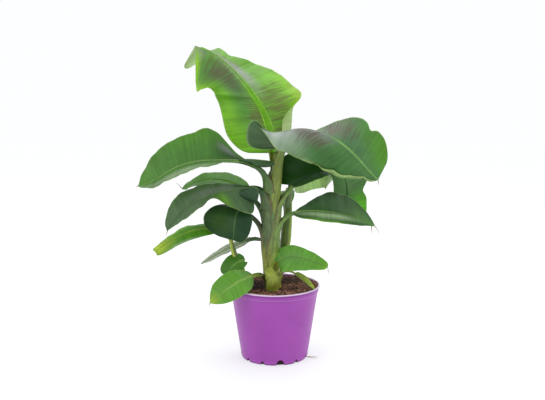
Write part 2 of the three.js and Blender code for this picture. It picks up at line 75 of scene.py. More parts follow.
# Each leaf: where its stalk leaves the stem, the headings (elevation, azimuth) of stalk and blade,
# their lengths, and the shape of the left and right halves of the blade. Lists are smooth keys from
# foot to tip. Of a sheath: face (the way it faces), span (how far round the stem it reaches, and how
# much further lower down) and clasp (where along the stalk it lets go). Of a stalk: wide and taper (how
# broad it starts, how it thins) and slim (its scale). Of a half: width, widest, base, tip and trim (its
# outline), slant (how its veins lean), fold, curl and bow (how it bends), pleats (place, length, turn),
# nicks (place, length, depth), and flap, flap_from, flap_span and scallop (its turned margin).
LEAVES = {
    "top_leaf": dict(
        stem="main_stem", root=[-1, 5, 375], rise=[[80, 100], [82, 110]], stalk=40,
        arch=[[83, 115], [66, 138], [52, 148], [44, 152], [35, 156], [17, 160]], blade=299,
        roll=[-40, -40, -42, -50, -68, -85], rib=2.7,
        left=dict(
            width=82, widest=0.2, base=0.2, tip=0.1, trim=[1.04, 1.05, 0.82, 0.8, 1.2, 1.32],
            fold=[0, -15, -25, 0, 0], slant=[1, 12, 36, 8, -17, -25], pleats=[[0.39, 0.015, 20]],
        ),
        right=dict(
            width=98, widest=0.45, base=0.6, tip=0.3, trim=[0.92, 0.95, 0.97, 0.88, 0.4, 1.6],
            flap_from=[0.58], fold=[10, 4, 0, -10, -22, -36, -46, -72, -160],
            flap=[160, 165, 168, 40, 0, 0, 0, 0, 0, 0, 0], slant=[0, -4, -2, 5, 12, 25],
        ),
    ),
    "right_leaf": dict(
        stem="main_stem", root=[8, -3, 385], rise=[[74, -60], [66, -40]], stalk=70,
        arch=[[30, 5], [2, 0], [-27, -18], [-37, -33], [-41, -42], [-33, -45]], blade=208,
        roll=[0, 15, 45, 55, 50], rib=1.25,
        left=dict(
            width=66, widest=0.5, tip=0.22, trim=[1, 0.88, 0.84, 1.0, 1.03, 1.02, 1.08, 1.05],
            fold=[-20, -12, 0, 0], slant=[0, -20, -20], nicks=[[0.68, 0.04, 0.14]],
        ),
        right=dict(
            width=84, widest=0.3, base=0.1, tip=0.5, trim=[1, 1.1, 1.15, 1.04, 0.92, 0.96, 0.9, 0.64, 0.5],
            bow=[-12, -12, -5, 0, 0, 0, 0, 0, 0], fold=[66, 60, 50, 32, 15, 5, 0, 0, 0],
            curl=[0, -115, -130, -110, -60, -50, -40, -35, -30],
            slant=[-38, -37, -30, -24, -18, -9, 0, 0, 0],
            flap=[0, 0, 0, 0, 70, 165, 172, 170, 160], flap_span=0.07, scallop=[0.035, 9],
            flap_from=[0.95, 0.95, 0.95, 0.93, 0.9, 0.82, 0.78, 0.72, 0.7],
        ),
    ),
    "left_leaf": dict(
        stem="main_stem", root=[-12, -6, 338], rise=[[86, 180], [70, 180]], stalk=62,
        arch=[[25, 182], [2, 182], [-2, 184], [-18, 186], [-32, 188], [-8, 190]], blade=242,
        clasp=1.1, wide=2.6, face=222,
        left=dict(width=53, widest=0.4, tip=0.6, fold=[3, 0, -12, -15, -8]),
        right=dict(
            width=70, widest=0.3, base=1.6, tip=0.3,
            trim=[0.3, 0.34, 0.9, 1.11, 1.02, 0.98, 0.96, 0.92, 0.88], fold=[50, 52, 50], slant=[20, 0, -15],
        ),
    ),
    "left_back_leaf": dict(
        stem="main_stem", root=[-14, 4, 262], rise=[[75, 160], [65, 165]], stalk=86,
        arch=[[35, 165], [15, 170], [-12, 175], [-30, 180]], blade=145, roll=[-10],
        left=dict(width=40, tip=0.75),
        right=dict(width=35, tip=0.75, fold=[10]),
    ),
    "left_middle_leaf": dict(
        stem="main_stem", root=[-14, -10, 307], rise=[[75, 200], [60, 200]], stalk=60,
        arch=[[0, 195], [-8, 192], [-18, 190], [-30, 190], [-48, 190], [-62, 190]], blade=195,
        roll=[-25], clasp=1.2, wide=2.2, face=195,
        left=dict(
            width=44, widest=0.4, base=0.8, tip=0.6, trim=[1, 1.75, 0.95, 0.3, 0.8, 1.1, 1.2, 1],
            fold=[-60, -25, 0], slant=[-40, 0, 10], pleats=[[0.36, 0.03, 25]],
        ),
        right=dict(
            width=38, widest=0.7, base=1, tip=0.35, trim=[1, 1, 1, 0.72], fold=[0, 10, 25],
            slant=[0, 0, -30],
        ),
    ),
    "left_low_leaf": dict(
        stem="left_shoot", root=[-80, 3, 230], rise=[[70, 170], [40, 175]], stalk=46,
        arch=[[15, 180], [-12, 183], [-30, 186], [-40, 188]], blade=140, roll=[-38],
        left=dict(width=20, tip=0.3, curl=[-30]),
        right=dict(width=30, tip=0.3, curl=[-50]),
    ),
    "front_leaf": dict(
        stem="main_stem", root=[-20, 4, 240], rise=[[72, 165], [60, 185]], stalk=80, face=178, span=[130, 20],
        arch=[[20, 220], [-50, 245], [-75, 255], [-80, 260]], blade=78,
        left=dict(width=35, base=0.5, tip=0.45, fold=[-15], curl=[-20]),
        right=dict(
            width=72, widest=0.6, base=1.2, tip=0.45, fold=[25, 5, -5, -5], curl=[-10],
            slant=[-25, -10, -8],
        ),
    ),
    "back_left_leaf": dict(
        stem="main_stem", root=[-18, 15, 236], rise=[[35, 150], [5, 155]], stalk=30, face=165, span=[120, 20],
        arch=[[-18, 160], [-27, 165], [-31, 170], [-36, 172]], blade=130, roll=[30],
        left=dict(width=14, tip=0.8),
        right=dict(width=22, tip=0.8),
    ),
    "left_rim_leaf": dict(
        stem="main_stem", root=[-18, -9, 157], rise=[[50, 238], [26, 256]], stalk=62, face=182, span=[110, 0],
        arch=[[-6, 218], [-26, 200], [-36, 190], [-41, 186]], blade=103, roll=[-5, -28, -50, -55],
        left=dict(width=28, widest=0.4, base=0.22, tip=0.9, fold=[-62, -28, -6, 0], slant=[12, 10, 20]),
        right=dict(width=34, widest=0.4, base=0.22, tip=1.1),
    ),
    "small_left_leaf": dict(
        stem="left_shoot", root=[-66, 5, 182], rise=[[65, 350], [50, 340]], stalk=24,
        arch=[[10, 210], [-38, 200], [-60, 195]], blade=52, roll=[-40],
        left=dict(width=20, tip=0.45),
        right=dict(width=24, tip=0.45),
    ),
    "right_low_leaf": dict(
        root=[10, -27, SOIL_LEVEL + 0.3], rise=[[78, 180], [78, 180]], stalk=57, wide=2.2, taper=4,
        arch=[[55, -20], [2, -25], [-12, -25], [-15, -25]], blade=112, roll=[62, 45, 35, 35],
        left=dict(
            width=27, widest=0.3, base=0.12, tip=0.45, trim=[0.86, 1, 0.9, 0.86, 0.8], slant=[-25, -10, 10],
        ),
        right=dict(
            width=34, widest=0.4, base=0.35, tip=0.4, trim=[1, 1.08, 1.02, 0.8, 0.6], slant=[-28, -6, 10],
        ),
    ),
    "right_middle_leaf": dict(
        stem="main_stem", root=[4, -6, 246], rise=[[80, 0], [65, 0]], stalk=66,
        arch=[[8, 0], [-3, -5], [-14, -8], [-28, -10]], blade=167, roll=[15],
        left=dict(
            width=60, widest=0.5, base=1.15, tip=0.9, trim=[0.75, 0.78, 1, 0.95, 0.9], fold=[20],
            slant=[0, -10, -10],
        ),
        right=dict(width=34, tip=1.1, fold=[15], curl=[-55]),
    ),
    "right_back_leaf": dict(
        stem="rear_shoot", root=[30, 35, 336], rise=[[60, 80], [45, 70]], stalk=34, face=0, span=[200, 120],
        arch=[[36, 41], [16, 21], [-41, -1], [-86, -60], [-88, -80]], blade=224,
        left=dict(
            width=54, widest=0.3, base=0.2, tip=0.2, trim=[1.1, 1.2, 1.1, 1.45, 1.04, 1.25],
            fold=[-70], slant=[-15, 5, 16, -22, 20], pleats=[[0.475, 0.035, 70]],
            nicks=[[0.8, 0.035, 0.2]],
        ),
        right=dict(
            width=44, tip=0.25, trim=[0.4, 0.6, 0.7, 1.35, 0.85, 0.9], fold=[50, 10, 0],
            slant=[-15, 5, 0, -38, 10],
        ),
    ),
    "shaded_leaf": dict(
        stem="main_stem", root=[10, -3, 300], rise=[[80, 20], [65, 0]], stalk=60,
        arch=[[35, 0], [26, 5], [10, 5], [-15, 5]], blade=98,
        left=dict(width=60, base=0.25, tip=0.7, trim=[1, 1.14, 1.14, 1, 1], fold=[50], slant=[-50, -5, 10]),
        right=dict(width=20, base=0.35, tip=0.7, fold=[-30]),
    ),
    "soil_leaf": dict(
        root=[2, -30, 173.5], rise=[[50, -5], [12, -12]], stalk=45, slim=0.5,
        arch=[[-36, -15], [-40, -15], [-33, -15]], blade=49,
        left=dict(width=13, tip=0.8, fold=[20]),
        right=dict(width=13, tip=0.8, fold=[20]),
    ),
    "back_leaf": dict(
        stem="rear_shoot", root=[27, 40, 250], rise=[[75, 100], [60, 100]], stalk=60, face=195, span=[150, 0],
        arch=[[35, 98], [5, 98], [-25, 96], [-50, 95]], blade=170,
        left=dict(width=30, tip=0.6, fold=[10]),
        right=dict(width=30, tip=0.6, fold=[10]),
    ),
}

# Colours of each leaf: its upper side, underside (PALE where none is given), midrib, stalk and sheath,
# and soft spots of colour or stain: place along, place across with the left half positive, reach along,
# reach across, colour or "stain", and strength. Some spots are painted sheen, and some colours are
# painted highlight or painted shade, as marked where they stand.
LIME = (126, 184, 30)
YELLOW = (190, 206, 56)
BRIGHT = (88, 148, 34)
MIDDLE = (70, 118, 48)
DARK = (28, 64, 34)
GREY_GREEN = (86, 116, 76)
PALE = (150, 184, 112)
LILAC = (156, 150, 160)

LOOKS = {
    "top_leaf": dict(
        # The second rib colour, towards the tip, is a painted highlight along the rib.
        upper=(112, 168, 52), under=(204, 222, 166), rib=(136, 204, 40), rib_highlight=(150, 166, 138),
        rib_edge=0.45, stalk=(124, 144, 50),
        spots=[
            (0.15, 0.9, 0.4, 0.7, LIME, 0.7), (0.35, -1.0, 0.4, 0.7, LIME, 0.9),
            (0.3, -0.95, 0.25, 0.3, YELLOW, 0.35), (0.05, 0.4, 0.2, 0.5, LIME, 0.4),
            (0.32, 0.4, 0.3, 0.45, (78, 134, 60), 0.75), (0.85, 0.45, 0.4, 0.6, (82, 132, 60), 0.9),
            (0.85, 1.0, 0.4, 0.28, (146, 196, 34), 0.95), (1.0, 0.5, 0.1, 0.8, (146, 196, 34), 1.0),
            (0.55, 0.35, 0.28, 0.5, (88, 118, 80), 1.0), (0.72, 0.3, 0.2, 0.5, (84, 120, 76), 0.8),
            # The two lilac-grey spots on the right half towards the tip are painted sheen.
            (0.66, -0.15, 0.36, 0.34, (162, 160, 170), 0.85), (0.95, -0.1, 0.1, 0.6, LILAC, 0.6),
            (0.7, 0.3, 0.32, 0.65, "stain", 0.9), (0.3, -0.4, 0.36, 0.7, "stain", 0.9),
            (0.25, 0.15, 0.26, 0.45, "stain", 0.9), (0.75, -0.3, 0.2, 0.4, "stain", 0.5),
        ],
    ),
    "right_leaf": dict(
        upper=(80, 128, 68), rib=(150, 196, 118), stalk=(126, 150, 70), sheath=(112, 130, 48),
        spots=[
            # The whitish spot and the lilac spot at the base of the right half are painted sheen.
            (0.1, -0.7, 0.35, 0.7, (176, 182, 184), 0.95), (0.3, -0.2, 0.25, 0.5, LILAC, 0.6),
            (0.25, -0.9, 0.3, 0.4, (150, 176, 140), 0.7), (0.3, -0.4, 0.3, 0.5, "stain", 0.9),
            (0.42, 0.5, 0.3, 0.7, "stain", 0.9), (0.35, 0.6, 0.35, 0.8, LILAC, 0.4),
            (0.6, 0.3, 0.3, 0.5, (86, 120, 92), 0.6), (0.9, 0.8, 0.4, 0.8, BRIGHT, 0.9),
            (0.75, -0.6, 0.5, 0.5, (66, 118, 56), 0.8), (0.8, -1.0, 0.6, 0.14, (204, 214, 160), 0.9),
        ],
    ),
    "left_leaf": dict(
        upper=(78, 128, 52), rib=(168, 196, 130), stalk=(74, 112, 50), sheath=(84, 112, 56),
        spots=[
            (0.5, -0.9, 0.5, 0.5, BRIGHT, 0.5), (0.18, -0.3, 0.24, 0.7, DARK, 0.7),
            (0.22, -0.5, 0.12, 0.3, LILAC, 0.5), (0.3, -0.4, 0.3, 0.4, "stain", 0.1),
            # The pale grey-green spot on the left half is painted sheen.
            (0.6, 0.7, 0.6, 0.5, (164, 180, 152), 0.75), (1.0, -0.5, 0.3, 1.0, (96, 144, 60), 0.7),
        ],
    ),
    "left_back_leaf": dict(upper=BRIGHT, rib=(140, 184, 70), stalk=(66, 106, 50), sheath=(84, 96, 44)),
    "left_middle_leaf": dict(
        upper=GREY_GREEN, rib=(110, 140, 92), stalk=(54, 92, 48), sheath=(76, 98, 52),
        spots=[
            (0.1, 0.7, 0.16, 0.9, (44, 82, 34), 0.9), (0.33, 0.6, 0.1, 0.9, (104, 158, 36), 0.8),
            (0.0, 0.1, 0.1, 0.6, DARK, 0.9), (0.12, -0.4, 0.14, 0.6, DARK, 0.8),
            (0.4, -0.3, 0.4, 0.5, LILAC, 0.4), (0.4, -0.3, 0.3, 0.5, "stain", 0.12),
        ],
    ),
    "left_low_leaf": dict(
        upper=BRIGHT, rib=(150, 192, 70), stalk=(150, 178, 60), sheath=(168, 188, 70),
        spots=[
            (0.95, 0.0, 0.4, 1.6, YELLOW, 0.9), (0.6, -0.7, 0.5, 0.5, LIME, 0.7),
            (0.55, 1.0, 0.5, 0.35, (170, 188, 158), 0.85),
        ],
    ),
    "front_leaf": dict(
        upper=(36, 76, 38), under=MIDDLE, rib=(84, 124, 70), stalk=(46, 78, 44), sheath=(96, 96, 44),
        spots=[(0.6, -0.5, 0.5, 0.7, (76, 112, 56), 0.8), (0.6, 0.6, 0.5, 0.6, (28, 66, 44), 0.7)],
    ),
    "back_left_leaf": dict(
        upper=GREY_GREEN, under=(214, 220, 206), rib=(150, 176, 130), stalk=(60, 92, 50), sheath=(76, 80, 40),
        spots=[(0.8, 0.0, 0.5, 1.6, (184, 194, 176), 0.9), (0.1, 0.0, 0.2, 1.5, DARK, 0.7)],
    ),
    "left_rim_leaf": dict(
        upper=(108, 166, 58), rib=(150, 194, 96), stalk=(128, 144, 60), sheath=(74, 72, 36),
        spots=[(1.0, 0.0, 0.3, 1.6, YELLOW, 0.9), (0.0, 0.0, 0.3, 1.6, MIDDLE, 0.6)],
    ),
    "small_left_leaf": dict(
        upper=(80, 134, 44), rib=(130, 176, 80), stalk=(140, 170, 60), sheath=(168, 188, 70),
    ),
    "right_low_leaf": dict(
        upper=(108, 166, 66), rib=(112, 166, 74), stalk=(138, 152, 50), sheath=(138, 152, 50),
        spots=[
            (0.3, 0.0, 0.5, 0.9, (112, 158, 84), 0.7), (1.0, 0.0, 0.25, 1.6, LIME, 0.6),
            (0.0, 0.3, 0.3, 1.4, (70, 122, 44), 0.5),
        ],
    ),
    "right_middle_leaf": dict(
        upper=(50, 90, 42), under=(90, 150, 30), rib=(140, 178, 90),
        stalk=(96, 132, 56), sheath=(104, 132, 60),
        spots=[
            # The pale spot along the right half is painted sheen.
            (0.4, -0.5, 0.6, 0.45, (164, 192, 142), 0.85), (0.35, -1.1, 0.5, 0.32, LIME, 1.0),
            (0.9, 0.0, 0.4, 1.2, (92, 136, 66), 0.8), (0.25, 0.9, 0.4, 0.5, (34, 70, 34), 0.6),
        ],
    ),
    "right_back_leaf": dict(
        upper=(72, 116, 58), under=(170, 200, 136), rib=(34, 58, 28),
        stalk=(104, 136, 60), sheath=(128, 158, 40),
        # The dark green edge colour is painted shade down the sides of its sheath.
        edge=(38, 66, 20), edge_from=0.3,
        spots=[(0.2, 0.8, 0.4, 0.9, (196, 216, 168), 1.0), (0.95, 0.8, 0.24, 1.2, (96, 176, 24), 1.0)],
    ),
    "shaded_leaf": dict(
        upper=(24, 74, 12), under=(34, 84, 22), rib=(30, 70, 24),
        stalk=(104, 138, 56), sheath=(104, 126, 60),
    ),
    "soil_leaf": dict(
        upper=(160, 178, 66), under=(150, 176, 60), rib=(170, 190, 90),
        stalk=(150, 156, 70), sheath=(120, 130, 60),
        spots=[(0.9, 0, 0.3, 1.5, YELLOW, 0.8)],
    ),
    "back_leaf": dict(
        upper=MIDDLE, rib=(130, 166, 90), stalk=(90, 130, 50), sheath=(46, 76, 24),
    ),
}

# Ear-like lobes at the foot of some blades, each a sheet between an outer and an inner line.
LOBES = {
    "right_leaf": dict(
        outer=[
            [-24, -74, 471], [-32, -68, 481], [-42, -60, 482.5], [-51, -52, 472], [-54.5, -47, 454],
            [-51.5, -46, 436], [-34, -50, 427.5], [-1, -58, 427.5],
        ],
        inner=[
            [-24, -73, 467], [-14, -69, 458], [-4, -66, 451], [4, -63, 445], [10, -60, 440],
            [14, -60, 435], [18, -60, 431],
        ],
        bulge=12, colour=(92, 124, 84),
    ),
    "left_leaf": dict(
        outer=[[-72, -8, 404], [-48, -25, 406], [-24.5, -30, 404.5], [-8, -29, 402], [1, -27, 397]],
        inner=[[-68, -8, 396], [-48, -25, 392], [-24.5, -30, 390], [-8, -28, 391], [0, -26, 395]],
        bulge=-4, colour=(70, 104, 60),
    ),
    "left_middle_leaf": dict(
        outer=[
            [-84, -20, 341], [-63, -26, 347], [-46, -30, 352], [-34, -31, 349], [-31, -30, 338],
            [-33, -27, 326],
        ],
        inner=[
            [-84, -24, 338], [-72, -28, 332], [-60, -30, 328], [-50, -30, 325], [-42, -30, 322],
            [-34, -28, 320],
        ],
        bulge=-5, colour=(56, 88, 58),
    ),
}


# ---- small tools ----
LINE_STEPS = 48  # a line is followed in at least this many fine steps


def linear(colour):
    """A colour of 0 to 255 values as linear light."""
    c = np.asarray(colour, float) / 255
    return np.where(c <= 0.04045, c / 12.92, ((c + 0.055) / 1.055) ** 2.4)


def rgba(colour):
    return (*linear(colour), 1.0)


def toward(start, end, share):
    return start + (end - start) * share


def keyed(keys, t):
    """A smooth value at t, 0 to 1, through evenly spread keys."""
    keys = np.asarray(keys, float)
    t = np.clip(np.asarray(t, float), 0, 1)
    last = len(keys) - 1
    if last == 0:
        return np.full_like(t, keys[0])
    i = np.minimum((t * last).astype(int), last - 1)
    f = t * last - i
    padded = np.concatenate([[2 * keys[0] - keys[1]], keys, [2 * keys[-1] - keys[-2]]])
    a, b, c, d = (padded[i + k] for k in range(4))
    return b + 0.5 * f * (c - a + f * (2 * a - 5 * b + 4 * c - d + f * (3 * (b - c) + d - a)))


def smooth(x):
    x = np.clip(x, 0, 1)
    return x * x * (3 - 2 * x)


def unit(v):
    return v / np.maximum(np.linalg.norm(v, axis=-1, keepdims=True), 1e-9)


def directions(headings, t):
    """Along the leaf, towards its left half, and out of its upper side, at each t."""
    elevation = np.radians(keyed([h[0] for h in headings], t))
    azimuth = np.radians(keyed([h[1] for h in headings], t))
    flat = np.cos(elevation)
    along = np.stack([flat * np.cos(azimuth), flat * np.sin(azimuth), np.sin(elevation)], -1)
    left = np.stack([-np.sin(azimuth), np.cos(azimuth), 0 * azimuth], -1)
    return along, left, np.cross(along, left)


def walk(start, headings, length, stations):
    """Stations along a line that starts at a point and follows its headings for a length."""
    fine = stations * math.ceil(LINE_STEPS / stations)
    middles = (np.arange(fine) + 0.5) / fine
    steps = directions(headings, middles)[0] * length / fine
    points = np.vstack([np.zeros(3), np.cumsum(steps, 0)]) + np.asarray(start, float)
    t = np.linspace(0, 1, stations + 1)
    return (points[:: fine // stations], *directions(headings, t), t)


def full_turn(sides):
    return np.linspace(0, 2 * math.pi, sides, endpoint=False)


def circle(turn, radius, z=0):
    """Points round the upright axis, one at each turn."""
    return np.stack([radius * np.cos(turn), radius * np.sin(turn), 0 * turn + z], -1)


# ---- meshes ----
def mesh_piece(name, points, faces, *coats, edges=()):
    """A smooth-shaded mesh object from points in millimetres, with the named materials."""
    mesh = bpy.data.meshes.new(name)
    mesh.from_pydata((np.asarray(points, float) * MM).tolist(), edges, faces)
    mesh.polygons.foreach_set("use_smooth", [True] * len(mesh.polygons))
    for coat in coats:
        mesh.materials.append(MATERIALS[coat])
    piece = bpy.data.objects.new(name, mesh)
    bpy.context.scene.collection.objects.link(piece)
    return piece


def add_tint(piece, colours):
    layer = piece.data.color_attributes.new("tint", "FLOAT_COLOR", "POINT")
    full = np.hstack([colours, np.ones((len(colours), 1))])
    layer.data.foreach_set("color", full.astype(np.float32).ravel())


def add_value(piece, name, values=None):
    """A number for each point, or nought for all of them."""
    if values is None:
        values = np.zeros(len(piece.data.vertices))
    layer = piece.data.attributes.new(name, "FLOAT", "POINT")
    layer.data.foreach_set("value", np.asarray(values, np.float32).ravel())


def add_uv(piece, pairs):
    """A UV map in metres, one pair a point."""
    layer = piece.data.uv_layers.new(name="grain")
    corners = np.zeros(len(piece.data.loops), np.int32)
    piece.data.loops.foreach_get("vertex_index", corners)
    layer.data.foreach_set("uv", (np.asarray(pairs)[corners] * MM).astype(np.float32).ravel())


def quads(*corners):
    return np.stack(corners, -1).reshape(-1, 4).tolist()


def shell_faces(rows, columns):
    """Faces of a closed shell: an upper grid, a lower grid, and the rim between them."""
    upper = np.arange(rows * columns).reshape(rows, columns)
    lower = upper + rows * columns
    faces = quads(upper[:-1, :-1], upper[:-1, 1:], upper[1:, 1:], upper[1:, :-1])
    faces += quads(lower[:-1, :-1], lower[1:, :-1], lower[1:, 1:], lower[:-1, 1:])
    for i in range(rows - 1):
        faces.append([upper[i, 0], upper[i + 1, 0], lower[i + 1, 0], lower[i, 0]])
        faces.append([upper[i + 1, -1], upper[i, -1], lower[i, -1], lower[i + 1, -1]])
    for j in range(columns - 1):
        faces.append([upper[0, j + 1], upper[0, j], lower[0, j], lower[0, j + 1]])
        faces.append([upper[-1, j], upper[-1, j + 1], lower[-1, j + 1], lower[-1, j]])
    return [[int(k) for k in face] for face in faces]


def sheets(upper, lower):
    """One list from two grids: the upper sheet's values, then the lower sheet's."""
    return np.concatenate([upper.reshape(-1, upper.shape[-1]), lower.reshape(-1, lower.shape[-1])])


def shell_piece(name, upper, lower, *coats):
    """A closed shell between two grids of points."""
    return mesh_piece(name, sheets(upper, lower), shell_faces(*upper.shape[:2]), *coats)


def band_faces(rings, sides):
    """Faces between neighbouring rings of points."""
    faces = []
    for i in range(rings - 1):
        for j in range(sides):
            k = (j + 1) % sides
            a, b = i * sides, (i + 1) * sides
            faces.append([a + j, a + k, b + k, b + j])
    return faces


def capped_faces(rings, sides):
    """Faces of a closed solid: a first point on the axis, neighbouring rings, and a last point."""
    faces = []
    last = 1 + rings * sides
    for j in range(sides):
        k = (j + 1) % sides
        faces.append([0, 1 + k, 1 + j])
        for i in range(rings - 1):
            a, b = 1 + i * sides, 1 + (i + 1) * sides
            faces.append([a + j, a + k, b + k, b + j])
        faces.append([last - sides + j, last - sides + k, last])
    return faces


def flipped(faces):
    """Faces that look the other way."""
    return [[face[0], *face[:0:-1]] for face in faces]


# ---- leaf blades ----
RIB_COLUMNS = [0, 0.35, 0.7, 1.0, 1.35]  # how far out they lie, in widths of the rib
RIB_DIPS = [0.95, 0.85, 0.45, 0.12, 0]  # how deep the channel is at each of them
RIB_SHARE = 0.5  # the most of a half that its rib columns take up
BLADE_COLUMNS = 15
COLUMN_EASE = 1.25  # how much closer the columns come near the margin
BEND_STEPS = 40  # a half bends in this many steps across
STATION_STEP = 2.2  # between rows of points along a blade
FEWEST_STATIONS = 24
FLAP_FROM = 0.65
FLAP_SPAN = 0.2
TIP_WIDTH = 0.9  # a half is at least this wide at the blade's tip
RIPPLES = ((62, 1.1), (37, 0.8), (19, 0.4), (9.5, 0.16))  # length and height of each wave
CALM_WIDTH = 25  # narrower halves ripple less
SHEET_EDGE, SHEET_SWELL = 0.22, 0.1  # half of a blade's thickness at its margin, and what the rib adds
MARGIN_COLOUR, MARGIN_SHARE = (176, 200, 110), 0.55
MARGIN_FROM, MARGIN_FADE = 0.975, 0.02
RIB_EDGE, RIB_FADE = 0.75, 0.5  # where the rib's colour starts to fade, and how far it reaches then
# Where the rib's colour starts to turn into its second colour, a painted highlight, and how far it reaches
# then.
RIB_TIP_FROM, RIB_TIP_REACH = 0.45, 0.2
UNDER_RIB = 0.7  # how strong the rib's colour is on the underside
UNDER_SPOTS = 0.4  # how strong spots and stains are there
LOBE_ROWS, LOBE_COLUMNS = 34, 15
LOBE_SHEET = 0.25
LOBE_LENGTH, LOBE_WIDTH = 60, 40
LOBE_MARGIN, LOBE_MARGIN_SHARE = (150, 180, 112), 0.8
LOBE_MARGIN_FROM, LOBE_MARGIN_FADE = 0.94, 0.05


def half_width(half, u):
    widest = half.get("widest", 0.42)
    below = np.clip(1 - u / widest, 0, 1)
    above = np.clip((u - widest) / (1 - widest), 0, 1)
    rise = (1 - below**2) ** half.get("base", 0.5)
    fall = (1 - above**2) ** half.get("tip", 0.8)
    nicked = 1
    for place, length, depth in half.get("nicks", []):
        nicked = nicked * (1 - depth * np.exp(-(((u - place) / length) ** 2)))
    return half["width"] * keyed(half.get("trim", [1]), u) * np.where(u < widest, rise, fall) * nicked


def rib_width(leaf, u):
    start = STALK_END * leaf.get("rib", 1) * leaf.get("slim", 1)
    return toward(start, RIB_TIP * leaf.get("rib", 1), u**0.7)


def ripples(seed, u, f, length):
    """Low waves that run along the side veins and grow towards the margin."""
    random = np.random.default_rng(seed)
    total = 0
    for wave, height in RIPPLES:
        phase, lean = random.uniform(0, 6.28), random.uniform(-0.6, 0.6)
        total = total + height * np.sin(2 * math.pi * (u * length / wave) + phase + lean * f)
    return total * f**1.3


def bend_angles(half, u):
    """The slope of each fine step across a half, from the rib to the margin."""
    turned = keyed(half.get("fold", [0]), u)
    for place, length, turn in half.get("pleats", []):
        turned = turned + turn * (0.5 + 0.5 * np.tanh((u - place) / length))
    middle = ((np.arange(BEND_STEPS) + 0.5) / BEND_STEPS)[None, :]
    curl, flap = (keyed(half.get(k, [0]), u)[:, None] for k in ("curl", "flap"))
    depth, count = half.get("scallop", [0, 0])
    start = keyed(half.get("flap_from", [FLAP_FROM]), u)[:, None]
    start = start + depth * np.abs(np.sin(math.pi * count * u))[:, None]
    over = smooth((middle - start) / half.get("flap_span", FLAP_SPAN))
    return np.radians(turned[:, None] + curl * middle + flap * over)


def column_shares(rib, width):
    """Each column's share of the way across a half, close together at the rib and at the margin."""
    rib = np.minimum(RIB_SHARE, RIB_COLUMNS[-1] * rib / width)[:, None]
    spread = (1 - (1 - np.linspace(0, 1, BLADE_COLUMNS + 1)[1:]) ** COLUMN_EASE)[None, :]
    return np.hstack([rib * np.array(RIB_COLUMNS) / RIB_COLUMNS[-1], rib + (1 - rib) * spread])


def summed(steps, width, f, i):
    """What the fine steps across a half add up to at each column."""
    total = np.hstack([np.zeros((len(width), 1)), np.cumsum(steps, 1)]) / BEND_STEPS * width[:, None]
    rest = f * BEND_STEPS - i
    rows = np.arange(len(width))[:, None]
    return total[rows, i] * (1 - rest) + total[rows, i + 1] * rest


def half_blade(leaf, half, side, line, seed):
    """Points of one half from the rib to the margin, with their shares across and distances from the rib."""
    point, along, left, up, u = line
    least = STALK_END * leaf.get("slim", 1) * (1 - u) + TIP_WIDTH * u
    width = np.maximum(half_width(half, u), least)
    roll = np.radians(keyed(leaf.get("roll", [0]), u))[:, None]
    outwards = left * np.cos(roll) + up * np.sin(roll)
    upwards = up * np.cos(roll) - left * np.sin(roll)
    angle = bend_angles(half, u)
    f = column_shares(rib_width(leaf, u), width)
    i = np.minimum((f * BEND_STEPS).astype(int), BEND_STEPS - 1)
    slope = np.take_along_axis(angle, i, 1)
    wave = ripples(seed, u[:, None], f, leaf["blade"]) * np.minimum(1, width / CALM_WIDTH)[:, None]
    x = summed(np.cos(angle), width, f, i) - np.sin(slope) * wave
    y = summed(np.sin(angle), width, f, i) + np.cos(slope) * wave
    slant = np.tan(np.radians(keyed(half.get("slant", [-15, 10, 25]), u)))[:, None]
    bow = keyed(half.get("bow", [0]), u)[:, None]
    lean = slant * width[:, None] * f + bow * np.sin(np.pi * f)
    points = (
        point[:, None] + along[:, None] * lean[..., None]
        + side * outwards[:, None] * x[..., None] + upwards[:, None] * y[..., None]
    )
    return points, f, f * width[:, None]


def stalk_line(leaf, stations):
    return walk(leaf["root"], [*leaf["rise"], leaf["arch"][0]], leaf["stalk"], stations)


def blade_grid(name, leaf, stations):
    """The blade's middle surface from the left margin over the rib to the right margin."""
    foot = stalk_line(leaf, 8)[0][-1]
    line = walk(foot, leaf["arch"], leaf["blade"], stations)
    seed = sorted(LEAVES).index(name)
    left, f_left, d_left = half_blade(leaf, leaf["left"], 1, line, 2 * seed)
    right, f_right, d_right = half_blade(leaf, leaf["right"], -1, line, 2 * seed + 1)
    points = np.concatenate([left[:, ::-1], right[:, 1:]], 1)
    share = np.concatenate([f_left[:, ::-1], -f_right[:, 1:]], 1)
    distance = np.concatenate([d_left[:, ::-1], -d_right[:, 1:]], 1)
    return points, share, distance, line


def grid_normals(points):
    along = np.gradient(points, axis=0)
    across = -np.gradient(points, axis=1)
    return unit(np.cross(along, across))


def painted(look, u, share, rib, lower):
    """The colour of each point of a blade, with the painted sheen of some spots and the painted highlight
    along a rib, and how strongly it is stained.
    """
    base = look.get("under", PALE) if lower else look["upper"]
    colour = np.broadcast_to(linear(base), (*u.shape, 3)).copy()
    stain = np.zeros(u.shape)
    for place, across, reach_u, reach_f, what, strength in look.get("spots", []):
        away = np.sqrt(((u - place) / reach_u) ** 2 + ((share - across) / reach_f) ** 2)
        weight = smooth(1 - away) * strength * (UNDER_SPOTS if lower else 1)
        if what == "stain":
            stain = np.maximum(stain, weight)
        else:
            colour = toward(colour, linear(what), weight[..., None])
    edge = smooth((np.abs(share) - MARGIN_FROM) / MARGIN_FADE)
    colour = toward(colour, linear(MARGIN_COLOUR), (edge * MARGIN_SHARE)[..., None])
    # Towards the tip the rib takes its second colour, a painted highlight where a look gives one.
    near, far = linear(look["rib"]), linear(look.get("rib_highlight", look["rib"]))
    rib_colour = toward(near, far, smooth((u - RIB_TIP_FROM) / RIB_TIP_REACH)[..., None])
    return toward(colour, rib_colour, rib[..., None]), stain * (1 - rib)


